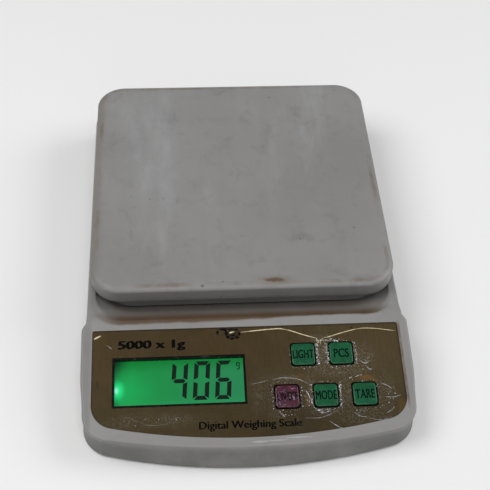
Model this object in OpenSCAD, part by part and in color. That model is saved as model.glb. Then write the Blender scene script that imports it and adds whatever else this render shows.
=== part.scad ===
// Compact electronic weighing scale: a white plastic housing with a tilted brass-coloured
// control panel in front and a square platform behind it, carried by a bar load cell.
// Axes: +X to the right, +Y to the rear, +Z up. Origin on the table, under the middle.

/* [Overall] */
// Width across the control head
head_w = 180; // [178:1:184]
// Length from the middle of the front arc to the rear wall
total_len = 256; // [256:1:260]
// Height of the platform's top above the table
total_h = 41; // [41:0.5:43]

/* [Control panel] */
// Tilt of the panel, falling towards the front
tilt = 9.93; // [9.5:0.1:10.3]
// Height of the panel's rear edge
panel_rear_z = 27.43; // [27.2:0.1:27.8]
// Distance from the front arc to the panel's rear edge
panel_depth = 70.95; // [70.5:0.1:71.2]
// Half width of the brass-coloured overlay
overlay_half_w = 83.2; // [82.5:0.1:83.6]
// How far the bezel stands above the overlay
bezel_rise = 0.9; // [0.6:0.1:1.1]

/* [Display] */
// Width of the display opening
lcd_w = 71; // [69:0.5:71]
// Height of the display opening, along the panel
lcd_h = 28.3; // [27:0.1:28.5]

/* [Keys] */
// Side of the square key openings
key_hole = 13.9; // [13.6:0.1:14.2]
// Side of the key caps
key_cap = 12.7; // [12.3:0.1:12.8]
// Spacing of the keys along a row
key_pitch = 20.68; // [20.3:0.01:21]
// Height of the key caps above the overlay
key_rise = 0.7; // [0.5:0.1:0.9]

/* [Platform] */
// Width of the platform tray
tray_w = 170; // [168:1:170]
// Length of the platform tray
tray_len = 167; // [166:1:167]
// Corner radius of the platform tray, seen from above
tray_corner = 17; // [15:1:19]
// Depth of the tray's side band
tray_side = 10; // [9.5:0.5:10.5]
// Travel of the platform before the overload stops take the load
platform_travel = 1; // [0.8:0.1:1]

/* [Housing] */
// Wall thickness of the housing shells
wall = 2.4; // [2.2:0.1:2.5]
// Height of the housing's flat underside, which the feet hold off the table
underside_z = 2; // [1.8:0.1:2.1]

/* [Hidden] */

$fn = 48;
eps = 0.01;

// Housing outline
front_y = -total_len / 2;
rear_y = total_len / 2;
head_half_w = head_w / 2;
base_half_w = head_half_w - 1;
case_bottom_z = underside_z - 0.2;
rim_z = 27.5;
head_rear_y = front_y + 83;
head_top_rear_y = front_y + 76;
base_front_y = front_y + 72;
plate_t = 2.4;
floor_z = underside_z + plate_t;

// Panel frame: u to the right, v up the slope, n out of the panel; v = 0 at the rear edge
panel_rear_y = front_y + panel_depth;
overlay_t = 0.35;
recess_n = -0.4;
skin_n = -2.6;

// Display stack, along n
lcd_u = -36.9;
lcd_v = -30.05;
lcd_frame_wall = 1.2;
glass_w = 74;
glass_h = 32;
glass_top_n = -2.8;
glass_bottom_n = -5;
board_top_n = -9.6;
board_t = 1.6;
board_bottom_n = board_top_n - board_t;

// Keys: each is [u, v]
key_row_front = -41.02;
key_row_rear = -17.21;
key_power_at = [19.7, key_row_front];
key_unit_at = [19.7 + key_pitch, key_row_front];
key_zero_at = [19.7 + 2 * key_pitch, key_row_front];
key_light_at = [19.7 + key_pitch / 2, key_row_rear];
key_count_at = [19.7 + 3 * key_pitch / 2, key_row_rear];
KEYS = [key_power_at, key_unit_at, key_zero_at, key_light_at, key_count_at];
switch_side = 6;
switch_h = 3.5;
plunger_r = 1.75;
plunger_top_n = -5.4;
switch_top_n = board_top_n + switch_h;

// Fasteners
CASE_SCREWS = [[-76, -110], [76, -110], [-76, 6], [76, 6], [-74, 108], [74, 108]];
BOARD_POSTS = [[-80, -14], [-80, -46], [7, -14], [7, -46], [73.5, -14], [73.5, -46]];
case_boss_z = 6.5;

// Pocket behind the head, and the platform in it
pocket_floor_z = 20.4;
pocket_floor_t = 2.2;
pocket_front_y = -42;
pocket_half_w = 80.3;
pocket_rear_y = rear_y - 5.2;
pocket_foot_z = pocket_floor_z + 1.5;
// Corner radii of the pocket in plan, front then rear, at its rim and at the foot of its slope
POCKET_RIM_R = [14, 20];
POCKET_FOOT_R = [22, 16];
platform_y = rear_y - 1 - tray_len / 2;
skirt_half_w = 78;
skirt_front_y = platform_y - tray_len / 2 + 3;
skirt_rear_y = pocket_rear_y - 1.6;
skirt_bottom_z = 22;
carrier_z = 24.5;
carrier_t = 2.6;
tray_t = 2.4;
tray_bottom_z = total_h - tray_side;
tray_edge_w = 5.2;
tray_edge_h = 2.4;
TRAY_PEGS = [for (sx = [-1, 1], sy = [-1, 1]) [sx * 56, platform_y + sy * 52]];
STOPS = [for (sx = [-1, 1], sy = [-1, 1]) [sx * 62, platform_y + sy * 64]];

// Load cell: a bar along X, fixed at its left end, carrying the platform at its right end
cell_l = 80;
cell_s = 12.7;
cell_z = 6.5;
cell_top_z = cell_z + cell_s;
CELL_BASE_HOLES = [-35, -25];
CELL_TOP_HOLES = [25, 35];
spacer_w = 22;
spacer_d = 20;
spacer_x = 30;

// Batteries: two AA cells end to end along X, in a compartment under the head's rear
cell_r = 7.1;
bay_y = front_y + 73.5;
bay_z = 11.1;
bay_half_l = 54.5;
bay_half_w = 7.55;
bay_roof_z = 18.6;
bay_wall = 1.3;
door_half_l = 57.5;
door_front_y = bay_y - 11;
door_rear_y = bay_y + 10;
door_t = 1.3;
door_travel = 6;
DOOR_TONGUES = [-40, 0, 40];

// Feet
FEET = [[-70, -86], [70, -86], [-70, 96], [70, 96]];
foot_r = 6.5;

// Cable routes, through hand-placed points
sensor_plug_u = 50;
battery_plug_u = 28;
plug_v = -26;

// ---- Points and helpers ----

// World position of a point given in the panel's frame
function panel_pt(u, v, n) = [
    u,
    panel_rear_y + v * cos(tilt) - n * sin(tilt),
    panel_rear_z + v * sin(tilt) + n * cos(tilt)
];

// Points along an arc of a circle
function arc(cx, cy, r, a0, a1, steps) = [
    for (k = [0 : steps]) let (a = a0 + (a1 - a0) * k / steps) [cx + r * cos(a), cy + r * sin(a)]
];

// Front of an outline: a wide arc of radius R, blended into straight sides by corners of radius rc
function bow_front(half_w, rc, R, tip_y) =
    let (
        xc = half_w - rc,
        yc = tip_y + R - sqrt((R - rc) * (R - rc) - xc * xc),
        a = asin(xc / (R - rc))
    )
    concat(
        arc(-xc, yc, rc, 180, 270 - a, 14),
        arc(0, tip_y + R, R, 270 - a + 1, 270 + a - 1, 30),
        arc(xc, yc, rc, 270 + a, 360, 14)
    );

// Outline of the control head: bowed front, sides that flare a little, rounded rear corners
function head_outline(front_half_w, side_half_w, rc, R, tip_y, rear, rear_r) = concat(
    bow_front(front_half_w, rc, R, tip_y),
    [[side_half_w, front_y + 40]],
    arc(side_half_w - rear_r, rear - rear_r, rear_r, 0, 90, 8),
    arc(-side_half_w + rear_r, rear - rear_r, rear_r, 90, 180, 8),
    [[-side_half_w, front_y + 40]]
);

// Outline of the housing behind the head: square where it runs into the head, rounded at the rear
function base_outline(half_w, rear, r) = concat(
    [[-half_w, base_front_y], [half_w, base_front_y]],
    arc(half_w - r, rear - r, r, 0, 90, 14),
    arc(-half_w + r, rear - r, r, 90, 180, 14)
);

// Outline of the overlay, in plan
function overlay_outline(inset) = concat(
    bow_front(overlay_half_w - inset, 13 - inset, 365 - inset, front_y + 9.2 + inset),
    arc(overlay_half_w - inset - 1, panel_rear_y - inset - 1, 1, 0, 90, 4),
    arc(-overlay_half_w + inset + 1, panel_rear_y - inset - 1, 1, 90, 180, 4)
);

function to_panel(pts) = [for (p = pts) [p[0], (p[1] - panel_rear_y) / cos(tilt)]];

// Curve through hand-placed points
function blend_pt(a, b, c, d, t) =
    0.5 * (2 * b + (c - a) * t + (2 * a - 5 * b + 4 * c - d) * t * t
        + (3 * b - a - 3 * c + d) * t * t * t);

function smooth_route(p, steps) =
    let (last = len(p) - 1)
    concat(
        [for (i = [0 : last - 1], s = [0 : steps - 1])
            blend_pt(p[max(i - 1, 0)], p[i], p[i + 1], p[min(i + 2, last)], s / steps)],
        [p[last]]
    );

function unit(v) = v / norm(v);

// Round wire or cable swept along a route; ref is a direction the route never follows
module tube(route, r, ref = [0, 0, 1], sides = 8) {
    last = len(route) - 1;
    ring = [
        for (i = [0 : last])
            let (
                t = unit(route[min(i + 1, last)] - route[max(i - 1, 0)]),
                a = unit(cross(ref, t)),
                b = cross(t, a)
            )
            for (k = [0 : sides - 1])
                route[i] + r * (cos(360 * k / sides) * a + sin(360 * k / sides) * b)
    ];
    walls = [
        for (i = [0 : last - 1], k = [0 : sides - 1])
            let (k2 = (k + 1) % sides)
            [i * sides + k, (i + 1) * sides + k, (i + 1) * sides + k2, i * sides + k2]
    ];
    near = [for (k = [0 : sides - 1]) k];
    far = [for (k = [sides - 1 : -1 : 0]) last * sides + k];
    polyhedron(points = ring, faces = concat(walls, [near, far]));
}

// Places children in the panel's frame
module on_panel() {
    translate([0, panel_rear_y, panel_rear_z]) rotate([tilt, 0, 0]) children();
}

// Block in the panel's frame, centred on u and v, between two n levels
module panel_block(u, v, w, h, n0, n1) {
    translate([u - w / 2, v - h / 2, min(n0, n1)]) cube([w, h, abs(n1 - n0)]);
}

module rounded_square(w, h, r) {
    square([w - 2 * r, h], center = true);
    square([w, h - 2 * r], center = true);
    for (sx = [-1, 1], sy = [-1, 1]) translate([sx * (w / 2 - r), sy * (h / 2 - r)]) circle(r);
}

// Thin flat slice of an outline at height z
module flat_slice(pts, z) {
    translate([0, 0, z]) linear_extrude(eps) polygon(pts);
}

// Thin slice of a plan outline, laid on the tilted plane at height n above the overlay
module tilted_slice(pts, n) {
    lift = panel_rear_z + n / cos(tilt) - panel_rear_y * tan(tilt);
    multmatrix([[1, 0, 0, 0], [0, 1, 0, 0], [0, tan(tilt), 1, lift], [0, 0, 0, 1]])
        linear_extrude(eps) polygon(pts);
}

// Thin slice of a rounded rectangle between y0 and y1
module box_slice(half_w, y0, y1, r, z) {
    translate([0, (y0 + y1) / 2, z]) linear_extrude(eps) rounded_square(2 * half_w, y1 - y0, r);
}

// ---- Housing ----

module head_solid() {
    hull() {
        flat_slice(head_outline(head_half_w - 1.4, head_half_w, 17, 310, front_y, head_rear_y, 4.5),
            case_bottom_z);
        flat_slice(head_outline(head_half_w - 2, head_half_w - 0.6, 16, 350, front_y + 2.4,
            head_rear_y, 4.5), 13);
        tilted_slice(head_outline(head_half_w - 2.1, head_half_w - 0.8, 15, 410, front_y + 3.1,
            head_top_rear_y + 1, 3), -0.6);
        tilted_slice(head_outline(head_half_w - 2.4, head_half_w - 1.1, 14.6, 409, front_y + 3.5,
            head_top_rear_y + 0.6, 3), 0.3);
        tilted_slice(head_outline(head_half_w - 3.3, head_half_w - 2, 13.8, 408, front_y + 4.5,
            head_top_rear_y, 3), bezel_rise - eps);
        box_slice(head_half_w - 1.1, head_rear_y - 18, head_rear_y, 4, rim_z - 1);
    }
}

module base_solid() {
    hull() {
        flat_slice(base_outline(base_half_w, rear_y, 20), case_bottom_z);
        flat_slice(base_outline(base_half_w - 0.3, rear_y - 0.3, 20), 10);
        flat_slice(base_outline(base_half_w - 1.9, rear_y - 1.9, 19), rim_z - 2);
        flat_slice(base_outline(base_half_w - 2.3, rear_y - 2.3, 18.6), rim_z - 0.7);
        flat_slice(base_outline(base_half_w - 3.1, rear_y - 3.1, 18), rim_z - eps);
    }
}

// The front of the pocket slopes gently down from the head; its sides and rear are steep
module pocket() {
    hull() {
        box_slice(pocket_half_w + 3, pocket_front_y - 10.6, platform_y, POCKET_RIM_R[0], 30);
        box_slice(pocket_half_w + 3, platform_y, pocket_rear_y + 2.6, POCKET_RIM_R[1], 30);
        box_slice(pocket_half_w + 0.4, pocket_front_y + 2, platform_y, POCKET_FOOT_R[0], pocket_foot_z);
        box_slice(pocket_half_w + 0.4, platform_y, pocket_rear_y + 0.4, POCKET_FOOT_R[1], pocket_foot_z);
        box_slice(pocket_half_w - 1.2, pocket_front_y + 4, platform_y, POCKET_FOOT_R[0] - 1.5,
            pocket_floor_z);
        box_slice(pocket_half_w - 1.2, platform_y, pocket_rear_y - 1, POCKET_FOOT_R[1] - 1.5,
            pocket_floor_z);
    }
    translate([-pocket_half_w - 3, pocket_front_y + 9, 29.9])
        cube([2 * pocket_half_w + 6, rear_y - pocket_front_y, 5]);
}

module head_hollow() {
    hull() {
        flat_slice(head_outline(head_half_w - 1.4 - wall, head_half_w - wall, 17 - wall, 307.6,
            front_y + wall, pocket_front_y - 1, 3), case_bottom_z - 1);
        flat_slice(head_outline(head_half_w - 2.2 - wall, head_half_w - 0.9 - wall, 16 - wall, 347.6,
            front_y + 2.6 + wall, pocket_front_y - 1, 3), 13);
        tilted_slice(head_outline(head_half_w - 2.6 - wall, head_half_w - 1.2 - wall, 12, 407,
            front_y + 3.6 + wall, head_top_rear_y - 1.2, 3), skin_n - eps);
        box_slice(head_half_w - 4, front_y + 60, pocket_front_y - 0.9, 3,
            pocket_floor_z - pocket_floor_t - eps);
    }
}

module base_hollow() {
    hull() {
        box_slice(base_half_w - wall, -72, rear_y - wall, 18, case_bottom_z - 1);
        box_slice(base_half_w - wall - 1.2, -72, rear_y - wall - 1.2, 17,
            pocket_floor_z - pocket_floor_t - eps);
    }
}

module upper_bosses() {
    for (p = CASE_SCREWS) translate([p[0], p[1], case_boss_z]) cylinder(r = 3.6, h = 25);
    on_panel() for (p = BOARD_POSTS) translate([p[0], p[1], board_top_n]) cylinder(r = 2.8, h = 12);
    for (p = STOPS) translate([p[0], p[1], 12]) cylinder(r = 4, h = 10);
}

module case_hollow() {
    difference() {
        union() {
            head_hollow();
            base_hollow();
        }
        upper_bosses();
    }
}

module overlay_recess() {
    on_panel() translate([0, 0, recess_n]) linear_extrude(3) polygon(to_panel(overlay_outline(0)));
}

module key_windows(side, n0, n1) {
    for (k = KEYS) translate([k[0], k[1], n0]) linear_extrude(n1 - n0) rounded_square(side, side, 2);
}

module upper_case() {
    color([0.80, 0.80, 0.77]) difference() {
        union() {
            difference() {
                union() {
                    head_solid();
                    base_solid();
                }
                pocket();
            }
            for (p = STOPS) translate([p[0], p[1], pocket_floor_z - 1]) cylinder(r = 4, h = 3);
        }
        case_hollow();
        overlay_recess();
        on_panel() panel_block(lcd_u, lcd_v, lcd_w + 0.4, lcd_h + 0.4, skin_n - 1, 1);
        on_panel() key_windows(key_hole, skin_n - 1, 1);
        for (p = CASE_SCREWS) translate([p[0], p[1], case_boss_z - 1]) cylinder(r = 1.3, h = 9);
        on_panel() for (p = BOARD_POSTS) translate([p[0], p[1], board_top_n - 1]) cylinder(r = 1.05, h = 6);
        for (p = STOPS) translate([p[0], p[1], 11]) cylinder(r = 1.55, h = 14);
        translate([-cell_l / 2 - 3, platform_y - 12, pocket_floor_z - 5])
            cube([cell_l / 2 + spacer_x + 18, 24, 8]);
    }
}

module lower_outline(inset) {
    polygon(head_outline(head_half_w - 1.4 - inset, head_half_w - inset, 17 - inset, 310 - inset,
        front_y + inset, head_rear_y - inset, 3));
    translate([0, (rear_y - 70 - inset) / 2])
        rounded_square(2 * (base_half_w - inset), rear_y + 70 - inset, 20 - inset);
}

module battery_bay() {
    translate([-bay_half_l - bay_wall, bay_y - bay_half_w - bay_wall, floor_z - 0.5])
        cube([2 * (bay_half_l + bay_wall), 2 * (bay_half_w + bay_wall), bay_roof_z + 1.1 - floor_z + 0.5]);
}

module lower_case() {
    color([0.74, 0.74, 0.71]) difference() {
        union() {
            translate([0, 0, underside_z]) linear_extrude(plate_t) lower_outline(3.3);
            translate([0, 0, floor_z]) linear_extrude(2) difference() {
                lower_outline(5.2);
                lower_outline(6.6);
            }
            battery_bay();
            translate([-30, platform_y, underside_z]) linear_extrude(cell_z - underside_z)
                rounded_square(26, 24, 3);
            for (x = [-62, -18, 18, 62]) translate([x - 0.8, -34, floor_z - 0.5]) cube([1.6, 52, 2]);
            for (x = [-62, 62]) translate([x - 0.8, 40, floor_z - 0.5]) cube([1.6, 60, 2]);
            for (p = CASE_SCREWS) translate([p[0], p[1], underside_z])
                cylinder(r = 4, h = case_boss_z - underside_z - 0.1);
        }
        translate([-bay_half_l, bay_y - bay_half_w, underside_z - 1])
            cube([2 * bay_half_l, 2 * bay_half_w, bay_roof_z - underside_z + 1]);
        translate([-door_half_l - 0.2, door_front_y - door_travel - 0.2, underside_z - 1])
            cube([2 * door_half_l + 0.4, door_rear_y - door_front_y + door_travel + 0.4, 1 + door_t + 0.15]);
        for (x = DOOR_TONGUES) translate([x - 6.2, door_rear_y - 1, underside_z + 0.6])
            cube([12.4, 3.6, 0.8]);
        for (p = CASE_SCREWS) translate([p[0], p[1], underside_z - 1]) {
            cylinder(r = 2.8, h = 3.4);
            cylinder(r = 1.5, h = 9);
        }
        for (x = CELL_BASE_HOLES) translate([x, platform_y, underside_z - 1]) {
            cylinder(r = 3.9, h = 3.6);
            cylinder(r = 2.2, h = 9);
        }
        for (p = FEET) translate([p[0], p[1], underside_z - 1]) cylinder(r = foot_r + 0.2, h = 1.6);
    }
}

// ---- Panel, display and keys ----

module panel_overlay() {
    color([0.42, 0.35, 0.20]) on_panel() difference() {
        translate([0, 0, -overlay_t]) linear_extrude(overlay_t) polygon(to_panel(overlay_outline(0.15)));
        panel_block(lcd_u, lcd_v, lcd_w + 0.1, lcd_h + 0.1, -1, 1);
        key_windows(key_hole, -1, 1);
    }
}

module protective_film() {
    color([0.85, 0.85, 0.8, 0.3]) on_panel() difference() {
        translate([0, 0, 0.02]) linear_extrude(0.12) polygon(to_panel(overlay_outline(0.5)));
        panel_block(lcd_u, lcd_v, lcd_w + 0.6, lcd_h + 0.6, -1, 1);
        key_windows(key_hole + 0.6, -1, 1);
    }
}

module lcd_bezel() {
    color([0.05, 0.05, 0.05]) on_panel() difference() {
        panel_block(lcd_u, lcd_v, lcd_w, lcd_h, -2.4, 0);
        panel_block(lcd_u, lcd_v, lcd_w - 2 * lcd_frame_wall, lcd_h - 2 * lcd_frame_wall, -3, 1);
    }
}

module lcd_window() {
    color([0.7, 0.9, 0.8, 0.3]) on_panel()
        panel_block(lcd_u, lcd_v, lcd_w - 2 * lcd_frame_wall - 0.2, lcd_h - 2 * lcd_frame_wall - 0.2,
            -1.5, -0.5);
}

module lcd_gasket() {
    color([0.1, 0.1, 0.1]) on_panel() difference() {
        panel_block(lcd_u, lcd_v, glass_w - 0.6, glass_h - 0.6, glass_top_n, skin_n - 0.02);
        panel_block(lcd_u, lcd_v, lcd_w + 0.8, lcd_h + 0.8, -4, -1);
    }
}

module lcd_glass() {
    color([0.1, 0.75, 0.3]) on_panel()
        panel_block(lcd_u, lcd_v, glass_w, glass_h, glass_bottom_n, glass_top_n - 0.02);
}

module lcd_holder() {
    color([0.08, 0.08, 0.08]) on_panel() difference() {
        panel_block(lcd_u, lcd_v, glass_w + 3.6, glass_h + 3.6, board_top_n, -3.2);
        panel_block(lcd_u, lcd_v, glass_w + 0.4, glass_h + 0.4, board_top_n - 1, -1);
    }
}

module backlight_guide() {
    color([0.3, 0.95, 0.5]) on_panel() difference() {
        panel_block(lcd_u, lcd_v, 70, 26, -8.3, glass_bottom_n - 0.1);
        panel_block(lcd_u - 35, lcd_v - 5, 2.6, 4.4, -9, -4);
    }
}

module backlight_reflector() {
    color([0.95, 0.95, 0.95]) on_panel() panel_block(lcd_u, lcd_v, 70, 26, -8.6, -8.32);
}

module backlight_led() {
    color([0.4, 1.0, 0.6]) on_panel() {
        panel_block(lcd_u - 35.4, lcd_v - 5, 1.6, 3.2, -8.2, -5.6);
        for (v = [-1, 1]) panel_block(lcd_u - 35.6, lcd_v - 5 + v, 0.5, 0.5, board_top_n, -8.2);
    }
}

module zebra_strips() {
    color([0.85, 0.45, 0.55]) on_panel()
        for (s = [-1, 1]) panel_block(lcd_u, lcd_v + s * 14.6, 66, 2, board_top_n, glass_bottom_n);
}

module main_board() {
    color([0.1, 0.4, 0.2]) on_panel() difference() {
        panel_block(-3.25, -30.25, 160.5, 38.5, board_bottom_n, board_top_n);
        for (p = BOARD_POSTS) translate([p[0], p[1], -13]) cylinder(r = 1.3, h = 5);
    }
}

module controller_chip() {
    color([0.06, 0.06, 0.07]) on_panel() translate([-20, -27, board_bottom_n]) mirror([0, 0, 1])
        rotate_extrude() intersection() {
            translate([0, -6.2]) circle(8.2);
            square([9, 3]);
        }
}

module board_components() {
    color([0.2, 0.25, 0.5]) on_panel() {
        for (u = [-46, -56]) translate([u, -24, board_bottom_n - 5]) cylinder(r = 2.5, h = 5);
        panel_block(-4, -38, 10, 3.6, board_bottom_n - 2.4, board_bottom_n);
        for (u = [-64 : 6 : -40]) panel_block(u, -38, 3.2, 1.6, board_bottom_n - 0.7, board_bottom_n);
        for (u = [8 : 5 : 28]) panel_block(u + 3, -34, 3, 1.5, board_bottom_n - 0.7, board_bottom_n);
        panel_block(3, -24, 5, 4, board_bottom_n - 1.6, board_bottom_n);
    }
}

module wire_plug(u, w) {
    on_panel() panel_block(u, plug_v, w, 6, board_bottom_n - 4, board_bottom_n);
}

module sensor_plug() {
    color([0.92, 0.9, 0.82]) wire_plug(sensor_plug_u, 10);
}

module battery_plug() {
    color([0.92, 0.9, 0.82]) wire_plug(battery_plug_u, 6);
}

module tact_switches() {
    color([0.12, 0.12, 0.13]) on_panel() difference() {
        for (k = KEYS) panel_block(k[0], k[1], switch_side, switch_side, board_top_n, switch_top_n);
        for (k = KEYS) translate([k[0], k[1], switch_top_n - 1.8]) cylinder(r = plunger_r + 0.08, h = 3);
    }
}

module board_screws() {
    color([0.6, 0.6, 0.62]) on_panel() for (p = BOARD_POSTS) translate([p[0], p[1], 0]) {
        translate([0, 0, board_bottom_n - 1.5]) cylinder(r = 2.2, h = 1.5);
        translate([0, 0, board_bottom_n - 0.5]) cylinder(r = 1, h = 6.4);
    }
}

// Cap with softened top edges, a flange that the case holds, and a stem down to the switch
module key(at) {
    on_panel() translate([at[0], at[1], 0]) {
        hull() {
            translate([0, 0, -0.3]) linear_extrude(eps) rounded_square(key_cap, key_cap, 1.8);
            translate([0, 0, key_rise - 0.35]) linear_extrude(eps)
                rounded_square(key_cap - 0.2, key_cap - 0.2, 1.8);
            translate([0, 0, key_rise - eps]) linear_extrude(eps)
                rounded_square(key_cap - 1.1, key_cap - 1.1, 1.6);
        }
        translate([0, 0, skin_n - 0.4]) linear_extrude(-skin_n + 0.2) rounded_square(key_cap, key_cap, 1.8);
        translate([0, 0, skin_n - 1.2]) linear_extrude(0.9) rounded_square(15.2, 15.2, 1.6);
        translate([0, 0, plunger_top_n]) cylinder(r = 1.6, h = 2);
    }
}

module plunger(at) {
    color([0.15, 0.15, 0.16]) on_panel()
        translate([at[0], at[1], switch_top_n - 0.9])
            cylinder(r = plunger_r, h = plunger_top_n - switch_top_n + 0.9);
}

module key_power() { color([0.62, 0.16, 0.30]) key(key_power_at); }
module key_unit() { color([0.08, 0.48, 0.27]) key(key_unit_at); }
module key_zero() { color([0.08, 0.48, 0.27]) key(key_zero_at); }
module key_light() { color([0.08, 0.48, 0.27]) key(key_light_at); }
module key_count() { color([0.08, 0.48, 0.27]) key(key_count_at); }

// ---- Weighing ----

module load_cell() {
    color([0.78, 0.79, 0.80]) difference() {
        translate([-cell_l / 2, platform_y - cell_s / 2, cell_z]) cube([cell_l, cell_s, cell_s]);
        for (x = [-6.5, 6.5]) translate([x, platform_y - 10, cell_z + cell_s / 2])
            rotate([-90, 0, 0]) cylinder(r = 4.6, h = 20);
        translate([-6.5, platform_y - 10, cell_z + cell_s / 2 - 1.5]) cube([13, 20, 3]);
        for (x = CELL_BASE_HOLES) translate([x, platform_y, cell_z - 1]) cylinder(r = 2, h = 10);
        for (x = CELL_TOP_HOLES) translate([x, platform_y, cell_top_z - 9]) cylinder(r = 2, h = 10);
    }
}

module strain_gauge_covers() {
    color([0.93, 0.93, 0.9]) {
        translate([-11, platform_y - 5, cell_top_z]) cube([22, 10, 0.8]);
        translate([-11, platform_y - 5, cell_z - 0.8]) cube([22, 10, 0.8]);
    }
}

module upper_spacer() {
    color([0.7, 0.7, 0.72]) difference() {
        translate([spacer_x, platform_y, cell_top_z]) linear_extrude(carrier_z - cell_top_z)
            rounded_square(spacer_w, spacer_d, 2);
        for (x = CELL_TOP_HOLES) translate([x, platform_y, cell_top_z - 1]) cylinder(r = 2.2, h = 9);
    }
}

module base_cell_screws() {
    color([0.55, 0.55, 0.57]) for (x = CELL_BASE_HOLES) translate([x, platform_y, 0]) {
        translate([0, 0, underside_z + 0.3]) cylinder(r = 3.5, h = 2.3);
        translate([0, 0, underside_z + 2]) cylinder(r = 1.95, h = 10);
    }
}

module platform_cell_screws() {
    color([0.55, 0.55, 0.57]) for (x = CELL_TOP_HOLES) translate([x, platform_y, 0]) {
        translate([0, 0, carrier_z + carrier_t]) cylinder(r = 3.5, h = 2.3);
        translate([0, 0, cell_top_z - 7]) cylinder(r = 1.95, h = carrier_z + carrier_t - cell_top_z + 7.5);
    }
}

// Dish under the tray: a floor on the spacer, the visible skirt, and sockets for the tray's pegs
module platform_carrier() {
    color([0.76, 0.76, 0.74]) difference() {
        union() {
            difference() {
                hull() {
                    box_slice(skirt_half_w - 1, skirt_front_y + 1, skirt_rear_y - 1, 15, skirt_bottom_z);
                    box_slice(skirt_half_w, skirt_front_y, skirt_rear_y, 16, skirt_bottom_z + 1);
                    box_slice(skirt_half_w, skirt_front_y, skirt_rear_y, 16, tray_bottom_z + 2.4);
                }
                hull() {
                    box_slice(skirt_half_w - 3, skirt_front_y + 3, skirt_rear_y - 3, 13, skirt_bottom_z - 1);
                    box_slice(skirt_half_w - 2.4, skirt_front_y + 2.4, skirt_rear_y - 2.4, 14,
                        tray_bottom_z + 5);
                }
            }
            box_slab(skirt_half_w - 1.5, skirt_front_y + 1.5, skirt_rear_y - 1.5, 14, carrier_z, carrier_t);
            for (p = TRAY_PEGS) translate([p[0], p[1], carrier_z]) cylinder(r = 5.6, h = 8);
            for (x = [-28, 0, 28]) translate([x - 0.9, skirt_front_y + 2, carrier_z])
                cube([1.8, 52, 7]);
            for (x = [-28, 0, 28]) translate([x - 0.9, platform_y + 24, carrier_z])
                cube([1.8, 50, 7]);
        }
        for (p = TRAY_PEGS) translate([p[0], p[1], carrier_z - 1]) cylinder(r = 3.2, h = 12);
        for (x = CELL_TOP_HOLES) translate([x, platform_y, carrier_z - 1]) cylinder(r = 2.2, h = 6);
    }
}

module box_slab(half_w, y0, y1, r, z, t) {
    translate([0, (y0 + y1) / 2, z]) linear_extrude(t) rounded_square(2 * half_w, y1 - y0, r);
}

// Section through the tray's edge, x outward from the corner's centre: upright side band, then a
// soft edge that eases into the flat top, and the shell's inside
function tray_section() = concat(
    [[0, total_h - tray_t], [tray_corner - tray_t - 4, total_h - tray_t]],
    [[tray_corner - tray_t, total_h - tray_t - 2.6], [tray_corner - tray_t, tray_bottom_z]],
    [[tray_corner - 0.5, tray_bottom_z], [tray_corner, tray_bottom_z + 0.6]],
    [for (a = [0 : 15 : 90])
        [tray_corner - tray_edge_w * (1 - cos(a)), total_h - tray_edge_h * (1 - sin(a))]],
    [[0, total_h]]
);

// One side of the tray and the corner that follows it, for a side of length side and a span
// from the tray's middle to the line of corner centres
module tray_quarter(side, span) {
    translate([span, side / 2, 0]) {
        rotate([90, 0, 0]) linear_extrude(side) polygon(tray_section());
        rotate_extrude(angle = 90) polygon(tray_section());
    }
}

module platform_tray() {
    cx = tray_w / 2 - tray_corner;
    cy = tray_len / 2 - tray_corner;
    color([0.82, 0.82, 0.80]) union() {
        translate([0, platform_y, 0]) {
            translate([-cx, -cy, total_h - tray_t]) cube([2 * cx, 2 * cy, tray_t]);
            tray_quarter(2 * cy, cx);
            rotate([0, 0, 90]) tray_quarter(2 * cx, cy);
            rotate([0, 0, 180]) tray_quarter(2 * cy, cx);
            rotate([0, 0, 270]) tray_quarter(2 * cx, cy);
        }
        for (p = TRAY_PEGS) translate([p[0], p[1], carrier_z + 0.4])
            cylinder(r = 3.1, h = total_h - tray_t - carrier_z);
        for (p = TRAY_PEGS) translate([p[0], p[1], carrier_z + 8.1])
            cylinder(r = 5.4, h = total_h - tray_t - carrier_z - 7.7);
    }
}

module overload_stops() {
    color([0.55, 0.55, 0.57]) for (p = STOPS) translate([p[0], p[1], 0]) {
        translate([0, 0, 14]) cylinder(r = 1.5, h = 9);
        translate([0, 0, pocket_floor_z + 2])
            cylinder(r = 2.8, h = carrier_z - platform_travel - 0.05 - pocket_floor_z - 2);
    }
}

// ---- Batteries and wiring ----

// An AA cell along +X with its positive nub at the far end
module battery_cell(x0) {
    translate([x0, bay_y, bay_z]) rotate([0, 90, 0]) {
        cylinder(r = cell_r, h = 49.2);
        cylinder(r = 2.75, h = 50.4);
    }
}

module battery_cell_left() { color([0.15, 0.2, 0.35]) battery_cell(-47.1); }
module battery_cell_right() { color([0.15, 0.2, 0.35]) battery_cell(3.35); }

module contact_positive() {
    color([0.8, 0.8, 0.78]) translate([bay_half_l - 0.5, bay_y - 5, bay_z - 5]) cube([0.45, 10, 10]);
}

function spring_pt(k, n) =
    let (f = k / n, r = 4.4 - 1.6 * f, a = 360 * 3.5 * f)
    [-bay_half_l + 0.9 + 6 * f, bay_y + r * cos(a), bay_z + r * sin(a)];

module contact_negative() {
    color([0.8, 0.8, 0.78]) {
        translate([-bay_half_l + 0.05, bay_y - 5, bay_z - 5]) cube([0.45, 10, 10]);
        tube([for (k = [0 : 56]) spring_pt(k, 56)], 0.38, [1, 0, 0]);
    }
}

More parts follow.
